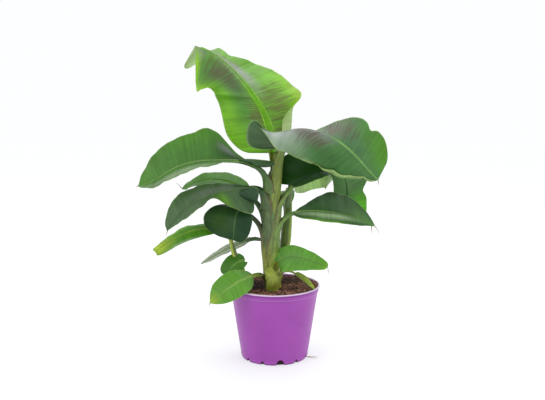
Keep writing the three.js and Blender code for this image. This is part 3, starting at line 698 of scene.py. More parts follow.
def rib_frames(points, line):
    """Left and up directions of the rib, square to both halves of the blade."""
    centre = points.shape[1] // 2
    reach = len(RIB_COLUMNS) - 1
    left = unit(points[:, centre - reach] - points[:, centre + reach])
    along = line[1]
    left = unit(left - along * np.sum(left * along, -1, keepdims=True))
    return line[0], along, left, np.cross(along, left), line[4]


def blade_piece(name, leaf, look):
    """A blade as a thin closed shell with a channel along its rib, and the frames of that rib."""
    stations = max(FEWEST_STATIONS, int(leaf["blade"] / STATION_STEP))
    points, share, distance, line = blade_grid(name, leaf, stations)
    rib = rib_width(leaf, line[4])[:, None]
    from_rib = np.abs(distance) / rib
    dip = np.interp(from_rib, RIB_COLUMNS, RIB_DIPS) * rib
    centre = points.shape[1] // 2
    down = grid_normals(points)[:, centre : centre + 1]
    sunk = points - down * dip[..., None]
    thick = SHEET_EDGE + SHEET_SWELL * (1 - np.abs(share))
    out = unit(grid_normals(sunk)) * thick[..., None]
    piece = shell_piece(name + "_blade", sunk + out, sunk - out, "leaf_upper", "leaf_under")
    u = np.broadcast_to(line[4][:, None], share.shape)
    band = 1 - smooth((from_rib - look.get("rib_edge", RIB_EDGE)) / RIB_FADE)
    top_colour, top_stain = painted(look, u, share, band, False)
    low_colour, low_stain = painted(look, u, share, band * UNDER_RIB, True)
    add_tint(piece, sheets(top_colour, low_colour))
    add_value(piece, "stain", sheets(top_stain, low_stain))
    add_value(piece, "rib", sheets(band, band))
    pairs = np.stack([u * leaf["blade"], distance], -1)
    add_uv(piece, sheets(pairs, pairs))
    count = (share.shape[0] - 1) * (share.shape[1] - 1)
    sides = [0] * count + [1] * (len(piece.data.polygons) - count)
    piece.data.polygons.foreach_set("material_index", sides)
    return piece, rib_frames(points, line)


def line_through(keys, t):
    return np.stack([keyed([k[i] for k in keys], t) for i in range(3)], -1)


def lobe_piece(name, lobe):
    """A lobe as a thin closed shell that swells between its two lines."""
    t, v = np.linspace(0, 1, LOBE_ROWS), np.linspace(0, 1, LOBE_COLUMNS)
    outer, inner = line_through(lobe["outer"], t), line_through(lobe["inner"], t)
    grid_t, grid_v = np.meshgrid(t, v, indexing="ij")
    points = toward(inner[:, None], outer[:, None], v[None, :, None])
    swell = 4 * grid_v * (1 - grid_v) * np.sin(math.pi * grid_t) ** 0.5
    points = points + np.array([0, 1, 0]) * (lobe["bulge"] * swell)[..., None]
    out = grid_normals(points) * LOBE_SHEET
    piece = shell_piece(name + "_lobe", points + out, points - out, "leaf_upper")
    edge = smooth((grid_v - LOBE_MARGIN_FROM) / LOBE_MARGIN_FADE)[..., None]
    colour = linear(lobe["colour"]) * (0.75 + 0.35 * grid_v[..., None])
    colour = toward(colour, linear(LOBE_MARGIN), edge * LOBE_MARGIN_SHARE)
    add_tint(piece, sheets(colour, colour))
    add_value(piece, "stain")
    add_value(piece, "rib")
    pairs = np.stack([grid_t * LOBE_LENGTH, grid_v * LOBE_WIDTH], -1)
    add_uv(piece, sheets(pairs, pairs))
    return piece


# ---- stalks with their clasping sheaths, and the keel under the midrib ----
STEM_GREEN = (118, 134, 56)
STEM_FOOT = (150, 164, 44)
SHEATH_EDGE = (88, 58, 42)
ROUND = 17  # points round a stalk
ARM = 4  # points down each side of its channel
SHEATH_COLUMNS = ROUND + 2 * ARM
SHEATH_RINGS = 18
SHEATH_LAYER = 0.75  # how much closer to the core each layer of sheaths brings the next one
LAYER_FROM, LAYER_FADE = 8, 30  # a layer starts this far below its root, and is whole this much lower
SHEATH_THIN, SHEATH_THICK = 0.5, 2.2  # thickness at its edges, and what its middle adds
SPREAD_HEIGHT = 90  # how far below its root a sheath reaches its whole span
SHEATH_OPENS = 70  # how far below its root a sheath starts to leave the stem
SHEATH_FREE = 0.35  # how far it has come from the clasped shape to the stalk's shape at its root
OLD_ROOT = 200  # sheaths with lower roots keep their own colour down to the soil
PALE_FROM, PALE_OVER = 248, 85  # below this height the others turn into STEM_FOOT
STALK_STATIONS = 22
KEEL_SHARE = 0.97  # how much of the blade the keel runs under


def channel():
    """Outer and inner line of a stalk of radius 1, from its left edge under it to its right edge."""
    turn = np.radians(np.linspace(0, -180, ROUND))
    arc = np.stack([np.cos(turn), np.sin(turn) - 1], -1)
    arm = np.stack([np.full(ARM, 0.97), np.linspace(-0.12, -0.85, ARM)], -1)
    other = (arm * [-1, 1])[::-1]
    outer = np.concatenate([arm, arc, other])
    q = np.linspace(-1, 1, len(outer))
    inner = np.stack([-0.74 * np.sign(q) * np.abs(q) ** 0.8, -1.02 + 0.9 * np.abs(q) ** 3], -1)
    return outer, inner


CHANNEL = channel()


def stalk_ring(point, left, up, radius):
    """Outer and inner line of a stalk at a point."""
    return [point + left * (line[:, :1] * radius) + up * (line[:, 1:] * radius) for line in CHANNEL]


def stem_at(stem, z):
    """Centre and radius of a stem at a height."""
    t = (z - SOIL_LEVEL) / (stem["top"] - SOIL_LEVEL)
    x = keyed([c[0] for c in stem["centres"]], t)
    y = keyed([c[1] for c in stem["centres"]], t)
    return np.array([x, y, z], float), float(keyed(stem["radii"], t))


def layers_outside(name, z):
    """How many sheaths lie outside this leaf's sheath at a height."""
    own = LEAVES[name]
    count = 0
    for other, leaf in LEAVES.items():
        if other != name and leaf.get("stem") == own["stem"] and leaf["root"][2] < own["root"][2]:
            count += float(smooth((leaf["root"][2] - LAYER_FROM - z) / LAYER_FADE))
    return count


def sheath_ring(name, z):
    """Outer and inner line of the sheath where it clasps the stem."""
    leaf = LEAVES[name]
    centre, radius = stem_at(STEMS[leaf["stem"]], z)
    toward_blade = leaf.get("face", leaf["rise"][0][1])
    own = radius - SHEATH_LAYER * layers_outside(name, z)
    span, spread = leaf.get("span", [190, 110])
    span = span + spread * np.clip((leaf["root"][2] - z) / SPREAD_HEIGHT, 0, 1)
    q = np.linspace(-0.5, 0.5, SHEATH_COLUMNS)
    turn = np.radians(toward_blade - q * span)
    thick = SHEATH_THIN + SHEATH_THICK * (1 - np.abs(2 * q) ** 2)
    return centre + circle(turn, own), centre + circle(turn, own - thick)


def opened(held, free, share):
    """Lines part of the way from the clasped shape to the stalk's."""
    return [toward(h, f, share) for h, f in zip(held, free)]


def turned_frames(stalk, blade):
    """The stalk's left and up directions, turned smoothly into the blade's."""
    point, along, left, up, t = stalk
    goal = blade[2][0]
    angle = math.atan2(float(goal @ up[-1]), float(goal @ left[-1]))
    share = (smooth(t / 0.9) * angle)[:, None]
    new_left = left * np.cos(share) + up * np.sin(share)
    return point, along, new_left, up * np.cos(share) - left * np.sin(share), t


def sheath_rings(name, leaf, look, left, up):
    """Rings of a sheath from the soil to its stalk's root: both lines, colour, and place along."""
    root = np.asarray(leaf["root"], float)
    own_tint = linear(look.get("sheath", STEM_GREEN))
    rings = []
    for z in np.linspace(SOIL_LEVEL - 5, root[2] - 3, SHEATH_RINGS):
        drop = np.array([0, 0, z - root[2]])
        free = stalk_ring(root + drop, left, up, STALK_START)
        share = SHEATH_FREE * smooth((z - (root[2] - SHEATH_OPENS)) / SHEATH_OPENS)
        foot = 0 if root[2] < OLD_ROOT else smooth((PALE_FROM - z) / PALE_OVER)
        tint = toward(own_tint, linear(STEM_FOOT), foot)
        rings.append((*opened(sheath_ring(name, z), free, share), tint, z - root[2]))
    return rings


def stalk_rings(name, leaf, look, run):
    """Rings of the stalk, which comes free of its stem where it has one."""
    own_tint, stalk_tint = linear(look.get("sheath", STEM_GREEN)), linear(look["stalk"])
    start, end = STALK_START * leaf.get("wide", 1), STALK_END * leaf.get("rib", 1)
    rings = []
    for point, left, up, t in zip(run[0], run[2], run[3], run[4]):
        thinning = t ** leaf["taper"] if "taper" in leaf else 1 - (1 - t) ** 1.2
        radius = toward(start, end, thinning) * leaf.get("slim", 1)
        lines = stalk_ring(point, left, up, radius)
        if "stem" in leaf:
            share = SHEATH_FREE + (1 - SHEATH_FREE) * float(smooth(t / leaf.get("clasp", 0.8)))
            lines = opened(sheath_ring(name, float(point[2])), lines, share)
        tint = toward(own_tint, stalk_tint, float(smooth(t * 1.5)))
        rings.append((*lines, tint, t * leaf["stalk"]))
    return rings


def keel_rings(leaf, look, blade):
    """Rings of the keel that carries the stalk on under the midrib."""
    stalk_tint, rib_tint = linear(look["stalk"]), linear(look["rib"]) * 0.8
    point, _, left, up, share = blade
    rings = []
    for i in range(1, int(len(share) * KEEL_SHARE), 2):
        u = float(share[i])
        lines = stalk_ring(point[i], left[i], up[i], float(rib_width(leaf, np.array(u))))
        tint = toward(stalk_tint, rib_tint, float(smooth(u * 4)))
        rings.append((*lines, tint, leaf["stalk"] + u * leaf["blade"]))
    return rings


def stalk_piece(name, leaf, look, blade):
    """Sheath, stalk and keel as one closed shell."""
    clasped = "stem" in leaf
    run = turned_frames(stalk_line(leaf, STALK_STATIONS), blade)
    rings = sheath_rings(name, leaf, look, run[2][0], run[3][0]) if clasped else []
    rings += stalk_rings(name, leaf, look, run) + keel_rings(leaf, look, blade)
    outer, inner, tints, lengths = (np.array(part) for part in zip(*rings))
    piece = shell_piece(name + "_petiole", inner, outer, "stem_skin")
    q = np.abs(np.linspace(-1, 1, SHEATH_COLUMNS))[None, :, None]
    edge = np.clip((q - look.get("edge_from", 0.8)) / 0.16, 0, 1) * (0.7 if clasped else 0.2)
    edge = edge * (lengths < leaf["stalk"] * 0.6)[:, None, None]
    colour = toward(tints[:, None] + 0 * q, linear(look.get("edge", SHEATH_EDGE)), edge)
    add_tint(piece, sheets(colour, colour))
    around = np.linspace(-20, 20, SHEATH_COLUMNS)
    pairs = np.stack(np.broadcast_arrays(lengths[:, None], around[None]), -1)
    add_uv(piece, sheets(pairs, pairs))
    return piece


CORE_RINGS, CORE_SIDES = 40, 40
CORE_INSET = 3.2
CORE_FOOT, CORE_TOP = (150, 166, 72), (96, 122, 70)


def stem_piece(name, stem):
    """The closed core of a stem, inside its sheaths."""
    turn = full_turn(CORE_SIDES)
    points, pairs = [], []
    for z in np.linspace(SOIL_LEVEL - 6, stem["top"] - 4, CORE_RINGS):
        centre, radius = stem_at(stem, z)
        points.append(centre + circle(turn, radius - CORE_INSET * min(1, radius / 14)))
        pairs.append(np.stack([0 * turn + z, turn * radius], -1))
    faces = band_faces(CORE_RINGS, CORE_SIDES)
    faces.append(list(range(CORE_SIDES))[::-1])
    faces.append([(CORE_RINGS - 1) * CORE_SIDES + j for j in range(CORE_SIDES)])
    piece = mesh_piece(name + "_core", np.concatenate(points), faces, "stem_skin")
    share = smooth(np.linspace(0, 1, CORE_RINGS) * 1.6)[:, None]
    colour = linear(CORE_FOOT) * (1 - share) + linear(CORE_TOP) * share
    add_tint(piece, np.repeat(colour, CORE_SIDES, 0))
    add_uv(piece, np.concatenate(pairs))
    return piece


# ---- node helpers ----
class Nodes:
    """Short calls for building a node tree."""

    def __init__(self, tree):
        self.tree = tree

    def add(self, kind, **settings):
        node = self.tree.nodes.new(kind)
        for key, value in settings.items():
            setattr(node, key, value)
        return node

    def feed(self, node, values):
        """Sets or links a node's inputs by name or number, and gives its outputs."""
        for key, value in values.items():
            if isinstance(value, bpy.types.NodeSocket):
                self.tree.links.new(value, node.inputs[key])
            else:
                node.inputs[key].default_value = value
        return node.outputs

    def made(self, kind, values, output=0, **settings):
        """One output of a new node with these inputs."""
        return self.feed(self.add(kind, **settings), values)[output]

    def math(self, operation, a, b=0.0):
        return self.made("ShaderNodeMath", {0: a, 1: b}, operation=operation)

    def times(self, a, b):
        return self.math("MULTIPLY", a, b)

    def mix(self, factor, a, b, blend="MIX"):
        return self.made("ShaderNodeMix", {0: factor, 6: a, 7: b}, 2, data_type="RGBA", blend_type=blend)

    def ramp(self, value, low, high, to_low=0.0, to_high=1.0):
        inputs = {"Value": value, "From Min": low, "From Max": high, "To Min": to_low, "To Max": to_high}
        return self.made("ShaderNodeMapRange", inputs, interpolation_type="SMOOTHSTEP")

    def varied(self, noise, low, high):
        """A noise's middle values, spread from a low to a high value."""
        return self.ramp(noise, 0.3, 0.7, low, high)

    def noise(self, vector, scale, detail, rough):
        inputs = {"Vector": vector, "Scale": scale, "Detail": detail, "Roughness": rough}
        return self.made("ShaderNodeTexNoise", inputs, "Fac")

    def attribute(self, name, output="Fac"):
        return self.made("ShaderNodeAttribute", {}, output, attribute_name=name)

    def place(self):
        return self.made("ShaderNodeTexCoord", {}, "Object")

    def height(self):
        return self.made("ShaderNodeSeparateXYZ", {0: self.place()}, 2)

    def vector(self, values):
        return self.made("ShaderNodeCombineXYZ", values)

    def tinted(self, level):
        """The piece's own colours, made lighter or darker by a level."""
        grey = self.made("ShaderNodeCombineColor", {0: level, 1: level, 2: level})
        return self.mix(1.0, self.attribute("tint", "Color"), grey, "MULTIPLY")

    def grain(self, along, across):
        node = self.add("ShaderNodeGroup", node_tree=GROUPS["grain"])
        return self.feed(node, {"Along": along, "Across": across})

    def mottle(self, scale):
        return self.feed(self.add("ShaderNodeGroup", node_tree=GROUPS["mottle"]), {"Scale": scale})

    def bumped(self, height, strength, distance):
        return self.made("ShaderNodeBump", {"Height": height, "Strength": strength, "Distance": distance})

    def skin(self, colour, roughness, normal, **more):
        inputs = {"Base Color": colour, "Roughness": roughness, "Normal": normal}
        return self.made("ShaderNodeBsdfPrincipled", {**inputs, **more})


def group(name, inputs, *outputs):
    """A shader node group with float inputs and float outputs."""
    tree = bpy.data.node_groups.new(name, "ShaderNodeTree")
    for label, value in inputs.items():
        socket = tree.interface.new_socket(label, in_out="INPUT", socket_type="NodeSocketFloat")
        socket.default_value = value
    for label in outputs:
        tree.interface.new_socket(label, in_out="OUTPUT", socket_type="NodeSocketFloat")
    nodes = Nodes(tree)
    return tree, nodes, nodes.add("NodeGroupInput").outputs, nodes.add("NodeGroupOutput")


def grain_group():
    """Streaks that follow the piece's own map: fine and broad, stretched along or across it."""
    tree, nodes, given, end = group("grain streaks", {"Along": 400.0, "Across": 20.0}, "Fine", "Broad")
    uv = nodes.made("ShaderNodeUVMap", {}, uv_map="grain")
    x, y, _ = nodes.feed(nodes.add("ShaderNodeSeparateXYZ"), {0: uv})
    both = nodes.vector({0: nodes.times(x, given["Along"]), 1: nodes.times(y, given["Across"])})
    nodes.feed(end, {"Fine": nodes.noise(both, 1.0, 2.0, 0.5), "Broad": nodes.noise(both, 0.23, 3.0, 0.6)})
    return tree


def mottle_group():
    """Soft patches in the piece's own space, with fine specks."""
    tree, nodes, given, end = group("mottle", {"Scale": 40.0}, "Patches", "Specks")
    place = nodes.place()
    patches = nodes.noise(place, given["Scale"], 4.0, 0.55)
    specks = nodes.noise(place, nodes.times(given["Scale"], 9.0), 2.0, 0.6)
    nodes.feed(end, {"Patches": patches, "Specks": specks})
    return tree


# ---- materials ----
STAIN_BROWN = (102, 76, 62)
LEAF_GLOW = (1.2, 1.3, 0.75, 1.0)  # a leaf's own colour is yellower where light comes through it

# Painted shadow and highlight lines round the pot, under its lip and at its shoulder and foot steps:
# height and reach in metres, strength, and colour.
SHADOW_LINE, HIGHLIGHT_LINE = (72, 24, 84), (190, 124, 200)
POT_LINES = [
    (0.1442, 0.0018, 0.7, SHADOW_LINE), (0.1345, 0.001, 0.4, SHADOW_LINE),
    (0.1365, 0.0012, 0.5, HIGHLIGHT_LINE), (0.006, 0.0012, 0.3, HIGHLIGHT_LINE),
]

# Where the soil lies in the leaves' shade: centre and reach in metres, and strength.
SOIL_SHADES = [((0.03, 0.06, 0.145), 0.06, 0.6), ((-0.045, 0.01, 0.145), 0.05, 0.85)]


def leaf_skin(nodes, smoothest, roughest):
    """Leaf skin: side veins, mottling, brown stains and a waxy surface that lets light through."""
    veins, marks, mottle = nodes.grain(620.0, 14.0), nodes.grain(480.0, 20.0), nodes.mottle(28.0)
    shade = nodes.varied(veins["Fine"], 0.93, 1.06)
    wide = nodes.varied(veins["Broad"], 0.9, 1.1)
    patch = nodes.varied(mottle["Patches"], 0.9, 1.08)
    lit = nodes.tinted(nodes.times(nodes.times(shade, wide), patch))
    stain = nodes.attribute("stain")
    streak = nodes.math("ADD", marks["Fine"], nodes.times(stain, 0.34))
    streak = nodes.math("ADD", streak, nodes.times(marks["Broad"], 0.35))
    marked = nodes.times(nodes.ramp(streak, 0.78, 0.98), nodes.ramp(stain, 0.0, 0.4))
    colour = nodes.mix(marked, lit, nodes.mix(0.6, lit, rgba(STAIN_BROWN)))
    off_rib = nodes.math("SUBTRACT", 1.0, nodes.attribute("rib"))
    normal = nodes.bumped(nodes.times(veins["Fine"], off_rib), 0.35, 0.0006)
    rough = nodes.varied(mottle["Specks"], smoothest, roughest)
    wax = nodes.skin(colour, rough, normal, **{"Specular IOR Level": 0.32})
    glow = nodes.mix(1.0, colour, LEAF_GLOW, "MULTIPLY")
    through = nodes.made("ShaderNodeBsdfTranslucent", {"Color": glow, "Normal": normal})
    return nodes.made("ShaderNodeMixShader", {0: 0.35, 1: wax, 2: through})


def upper_skin(nodes):
    return leaf_skin(nodes, 0.36, 0.5)


def under_skin(nodes):
    return leaf_skin(nodes, 0.6, 0.7)


def stem_skin(nodes):
    """Fibrous stem skin with long streaks and small brown marks."""
    fibre, mottle = nodes.grain(24.0, 500.0), nodes.mottle(60.0)
    streaks = nodes.varied(fibre["Fine"], 0.72, 1.18)
    lit = nodes.tinted(nodes.times(streaks, nodes.varied(mottle["Patches"], 0.8, 1.15)))
    marks = nodes.times(nodes.ramp(mottle["Patches"], 0.58, 0.72), 0.5)
    colour = nodes.mix(marks, lit, rgba((110, 84, 60)))
    rough = nodes.varied(fibre["Broad"], 0.4, 0.6)
    return nodes.skin(colour, rough, nodes.bumped(fibre["Fine"], 0.4, 0.0006))


def pot_skin(nodes):
    """Moulded purple plastic with a painted highlight on its lip, painted shadow and highlight lines at its
    steps, and a soiled foot.
    """
    mottle, grit, height = nodes.mottle(16.0), nodes.mottle(210.0), nodes.height()
    patch = nodes.varied(mottle["Patches"], 0.0, 1.0)
    colour = nodes.mix(patch, rgba((143, 54, 153)), rgba((150, 62, 160)))
    # Painted shadow and highlight lines under the lip and at the steps.
    for level, reach, strength, line_colour in POT_LINES:
        away = nodes.math("ABSOLUTE", nodes.math("SUBTRACT", height, level))
        colour = nodes.mix(nodes.ramp(away, 0.0, reach, strength, 0.0), colour, rgba(line_colour))
    # A painted highlight along the top of the lip.
    colour = nodes.mix(nodes.ramp(height, 0.1468, 0.1476), colour, rgba((208, 190, 216)))
    low = nodes.ramp(height, 0.0006, 0.0042, 0.16, -0.12)
    soiled = nodes.ramp(nodes.math("ADD", grit["Patches"], low), 0.6, 0.66)
    colour = nodes.mix(nodes.times(soiled, 0.9), colour, rgba((70, 40, 52)))
    rough = nodes.varied(mottle["Patches"], 0.34, 0.46)
    return nodes.skin(colour, rough, nodes.bumped(mottle["Specks"], 0.1, 0.0003))


def soil_skin(nodes):
    """Damp peat with pale and dark grains, darker where it lies in the leaves' shade and painted near-black
    low down.
    """
    mottle, clods = nodes.mottle(130.0), nodes.mottle(42.0)
    grains = nodes.ramp(mottle["Patches"], 0.38, 0.62)
    colour = nodes.mix(grains, rgba((46, 27, 26)), rgba((128, 82, 66)))
    colour = nodes.mix(nodes.ramp(nodes.attribute("shade"), 0.3, 1.0), colour, rgba((188, 138, 108)))
    specks = nodes.times(nodes.ramp(mottle["Specks"], 0.6, 0.7), 0.5)
    colour = nodes.mix(specks, colour, rgba((40, 26, 24)))
    for centre, reach, strength in SOIL_SHADES:
        ends = {0: nodes.place(), 1: centre}
        away = nodes.made("ShaderNodeVectorMath", ends, "Value", operation="DISTANCE")
        near = nodes.ramp(away, reach * 0.45, reach, strength, 0.0)
        colour = nodes.mix(near, colour, rgba((38, 22, 26)))
    wet = nodes.times(nodes.ramp(clods["Patches"], 0.52, 0.64), 0.5)
    colour = nodes.mix(wet, colour, rgba((44, 26, 28)))
    # Painted shade: near-black low down, where the soil shows through the drain notches inside the pot.
    colour = nodes.mix(nodes.ramp(nodes.height(), 0.02, 0.05, 0.9, 0.0), colour, rgba((34, 16, 30)))
    return nodes.skin(colour, 0.9, nodes.bumped(mottle["Specks"], 0.6, 0.001))


def dry_skin(nodes):
    """Dried brown leaf ends and roots."""
    mottle = nodes.mottle(220.0)
    fibres = nodes.ramp(mottle["Patches"], 0.35, 0.65)
    colour = nodes.mix(fibres, rgba((120, 104, 62)), rgba((176, 160, 104)))
    return nodes.skin(colour, 0.75, nodes.bumped(mottle["Specks"], 0.3, 0.0003))


def floor_skin(nodes):
    return nodes.made("ShaderNodeBsdfPrincipled", {
        "Base Color": (0.46, 0.465, 0.475, 1.0), "Roughness": 0.8,
        "Emission Color": (0.97, 0.985, 1.0, 1.0), "Emission Strength": 0.5,
    })


def material(name, skin):
    """A material with the shader that a function builds."""
    made = bpy.data.materials.new(name)
    made.use_nodes = True
    made.node_tree.nodes.clear()
    nodes = Nodes(made.node_tree)
    nodes.feed(nodes.add("ShaderNodeOutputMaterial"), {"Surface": skin(nodes)})
    return made


SKINS = {
    "leaf_upper": upper_skin,
    "leaf_under": under_skin,
    "stem_skin": stem_skin,
    "pot_plastic": pot_skin,
    "peat": soil_skin,
    "dry_fibre": dry_skin,
    "studio_floor": floor_skin,
}
GROUPS = {"grain": grain_group(), "mottle": mottle_group()}
MATERIALS = {name: material(name, skin) for name, skin in SKINS.items()}


# ---- geometry node trees ----
def geometry_tree(name, inputs):
    """A tree that takes a mesh, named float or integer sizes and a material, and gives a mesh."""
    tree = bpy.data.node_groups.new(name, "GeometryNodeTree")
    tree.interface.new_socket("Geometry", in_out="INPUT", socket_type="NodeSocketGeometry")
    for label, value in inputs.items():
        kind = "NodeSocketInt" if isinstance(value, int) else "NodeSocketFloat"
        tree.interface.new_socket(label, in_out="INPUT", socket_type=kind).default_value = value
    tree.interface.new_socket("Material", in_out="INPUT", socket_type="NodeSocketMaterial")
    tree.interface.new_socket("Geometry", in_out="OUTPUT", socket_type="NodeSocketGeometry")
    nodes = Nodes(tree)
    return tree, nodes, nodes.add("NodeGroupInput").outputs, nodes.add("NodeGroupOutput")


def end_tree(nodes, given, end, geometry):
    real = nodes.made("GeometryNodeRealizeInstances", {0: geometry})
    coated = nodes.made("GeometryNodeSetMaterial", {"Geometry": real, "Material": given["Material"]})
    nodes.feed(end, {0: coated})


def notched_tree():
    """Cuts arched notches round the foot of the pot, every third one larger."""
    sizes = {
        "Count": NOTCH_COUNT, "Foot radius": 0.07, "Turn": 0.0, "Small width": 0.009,
        "Small height": 0.0075, "Large width": 0.017, "Large height": 0.0115, "Reach": 0.01,
    }
    tree, nodes, given, end = geometry_tree("drain notches", sizes)
    ring = nodes.made("GeometryNodeMeshCircle", {"Vertices": given["Count"], "Radius": given["Foot radius"]})
    cutter = nodes.made("GeometryNodeMeshCylinder", {"Vertices": 20, "Radius": 1.0, "Depth": 1.0})
    lying = nodes.made("GeometryNodeTransform", {"Geometry": cutter, "Rotation": (0, math.pi / 2, 0)})
    index = nodes.made("GeometryNodeInputIndex", {})
    third = nodes.math("LESS_THAN", nodes.math("MODULO", index, 3.0), 0.5)
    width, height = (
        nodes.made("ShaderNodeMapRange", {0: third, 3: given["Small " + size], 4: given["Large " + size]})
        for size in ("width", "height")
    )
    size = nodes.vector({0: given["Reach"], 1: nodes.times(width, 0.5), 2: height})
    step = nodes.math("DIVIDE", 2 * math.pi, given["Count"])
    turn = nodes.vector({2: nodes.times(index, step)})
    spread = nodes.made("GeometryNodeInstanceOnPoints", {
        "Points": ring, "Instance": lying, "Rotation": turn, "Scale": size,
    })
    whole_turn = nodes.vector({2: given["Turn"]})
    placed = nodes.made("GeometryNodeTransform", {"Geometry": spread, "Rotation": whole_turn})
    real = nodes.made("GeometryNodeRealizeInstances", {0: placed})
    cut = nodes.add("GeometryNodeMeshBoolean", operation="DIFFERENCE", solver="EXACT")
    end_tree(nodes, given, end, nodes.feed(cut, {"Mesh 1": given[0], "Mesh 2": real})[0])
    return tree


def litter_tree():
    """Scatters crumbs of uneven size over the soil."""
    sizes = {"Density": 60000.0, "Smallest": 0.0008, "Largest": 0.003, "Flatness": 0.6, "Seed": 3}
    tree, nodes, given, end = geometry_tree("soil litter", sizes)
    scatter = {"Mesh": given[0], "Density": given["Density"], "Seed": given["Seed"]}
    spots = nodes.made("GeometryNodeDistributePointsOnFaces", scatter)
    ball = nodes.made("GeometryNodeMeshIcoSphere", {"Radius": 1.0, "Subdivisions": 2})
    dents = nodes.made("ShaderNodeTexNoise", {"Scale": 1.4}, "Color")
    centred = nodes.made("ShaderNodeVectorMath", {0: dents, 1: (0.5, 0.5, 0.5)}, operation="SUBTRACT")
    shove = nodes.made("ShaderNodeVectorMath", {0: centred, "Scale": 1.3}, operation="SCALE")
    crumb = nodes.made("GeometryNodeSetPosition", {"Geometry": ball, "Offset": shove})
    limits = {2: given["Smallest"], 3: given["Largest"], 8: given["Seed"]}
    size = nodes.made("FunctionNodeRandomValue", limits, 1, data_type="FLOAT")
    flat = nodes.vector({0: 1.0, 1: 0.75, 2: given["Flatness"]})
    scale = nodes.made("ShaderNodeVectorMath", {0: flat, "Scale": size}, operation="SCALE")
    turns = {0: (-0.5, -0.5, 0), 1: (0.5, 0.5, 6.28), 8: 11}
    turn = nodes.made("FunctionNodeRandomValue", turns, data_type="FLOAT_VECTOR")
    lay = nodes.made("GeometryNodeInstanceOnPoints", {
        "Points": spots, "Instance": crumb, "Scale": scale, "Rotation": turn,
    })
    shade = nodes.made("FunctionNodeRandomValue", {2: 0.0, 3: 1.0, 8: 5}, 1, data_type="FLOAT")
    tagged = nodes.add("GeometryNodeStoreNamedAttribute", data_type="FLOAT", domain="INSTANCE")
    end_tree(nodes, given, end, nodes.feed(tagged, {"Geometry": lay, "Name": "shade", "Value": shade})[0])
    return tree


def thread_tree():
    """Thin tapering threads along the edges of a line mesh."""
    tree, nodes, given, end = geometry_tree("dry threads", {"Width": 0.001, "Sides": 6})
    curve = nodes.made("GeometryNodeMeshToCurve", {0: given[0]})
    along = nodes.made("GeometryNodeSplineParameter", {}, "Factor")
    taper = nodes.math("SUBTRACT", 1.0, nodes.times(along, 0.7))
    thin = nodes.made("GeometryNodeSetCurveRadius", {"Curve": curve, "Radius": taper})
    outline = {"Resolution": given["Sides"], "Radius": given["Width"]}
    shape = nodes.made("GeometryNodeCurvePrimitiveCircle", outline)
    tube = nodes.made("GeometryNodeCurveToMesh", {
        "Curve": thin, "Profile Curve": shape, "Fill Caps": True, "Scale": taper,
    })
    end_tree(nodes, given, end, tube)
    return tree


def grown(name, source, tree, values, coat):
    """Runs a tree on a mesh piece and gives its result as a plain mesh piece."""
    modifier = source.modifiers.new("grow", "NODES")
    modifier.node_group = tree
    sockets = {s.name: s.identifier for s in tree.interface.items_tree if s.in_out == "INPUT"}
    for label, value in {**values, "Material": MATERIALS[coat]}.items():
        modifier[sockets[label]] = value
    source.update_tag()
    bpy.context.view_layer.update()
    shown = source.evaluated_get(bpy.context.evaluated_depsgraph_get())
    mesh = bpy.data.meshes.new_from_object(shown)
    mesh.name = name
    source.modifiers.remove(modifier)
    bpy.data.objects.remove(source)
    piece = bpy.data.objects.new(name, mesh)
    bpy.context.scene.collection.objects.link(piece)
    return piece


# ---- pot and soil ----
POT_SIDES = 180
SHARP_ANGLE = 38
SOIL_RINGS, SOIL_SIDES = 46, 120
SOIL_DEPTH = 12
SOIL_BUMPS = ((1.6, 17, 1), (1.3, 7, 2), (0.9, 3.2, 3))  # height, length, seed
NOISE_TABLE = 64


def lathe(name, outline, sides, *coats):
    """A closed solid of revolution. The outline starts and ends on the axis and runs anticlockwise."""
    rings = [circle(full_turn(sides), radius, z) for radius, z in outline[1:-1]]
    points = np.concatenate([[(0, 0, outline[0][1])], *rings, [(0, 0, outline[-1][1])]])
    return mesh_piece(name, points, capped_faces(len(rings), sides), *coats)


def wall_radius(z):
    return POT_BASE + (POT_RIM - POT_LIP_DEPTH - POT_BASE) * z / (POT_HEIGHT - POT_LIP)


def pot_outline():
    """Half of the pot's section, from the middle of its underside round to the middle of its floor."""
    under = POT_HEIGHT - POT_LIP
    shoulder = under - 10
    foot = wall_radius(0)
    return [
        (0, 0.6), (foot - 6, 0.6), (foot - 4.5, 0), (foot - 0.8, 0), (foot, 0.8),
        (wall_radius(4) + 0.35, 4), (wall_radius(5), 5.2),
        *((wall_radius(z), z) for z in np.linspace(12, shoulder - 1, 9)),
        (wall_radius(shoulder) + 0.1, shoulder - 0.4), (wall_radius(shoulder) + 1.1, shoulder + 0.4),
        (wall_radius(shoulder) + 1.3, shoulder + 1.2), (wall_radius(under) + 0.6, under - 0.6),
        (wall_radius(under) + 0.7, under), (POT_RIM - 0.4, under + 0.3), (POT_RIM, under + 0.9),
        (POT_RIM, POT_HEIGHT - 1.2), (POT_RIM - 0.5, POT_HEIGHT - 0.3), (POT_RIM - 1.4, POT_HEIGHT),
        (POT_RIM - 2.6, POT_HEIGHT), (POT_RIM - 3.3, POT_HEIGHT - 0.5), (POT_RIM - 3.8, POT_HEIGHT - 2),
        *((wall_radius(z) - POT_WALL, z) for z in (140, 110, 70, 30, 4)),
        (wall_radius(3) - POT_WALL - 1, 3), (0, 3),
    ]


def pot_piece():
    blank = lathe("pot_blank", pot_outline(), POT_SIDES)
    sizes = {"Turn": math.radians(NOTCH_TURN - 90), "Foot radius": POT_BASE * MM}
    piece = grown("pot_shell", blank, notched_tree(), sizes, "pot_plastic")
    piece.data.set_sharp_from_angle(angle=math.radians(SHARP_ANGLE))
    return piece


def foot_soil_piece():
    """The soil that shows through the drain notches, painted near-black by its skin for the shade inside the
    pot.
    """
    radius = POT_BASE - 3.5
    piece = lathe("foot_soil", [(0, 0.8), (radius, 0.8), (radius, 9), (0, 9)], 90, "peat")
    add_value(piece, "shade")
    return piece


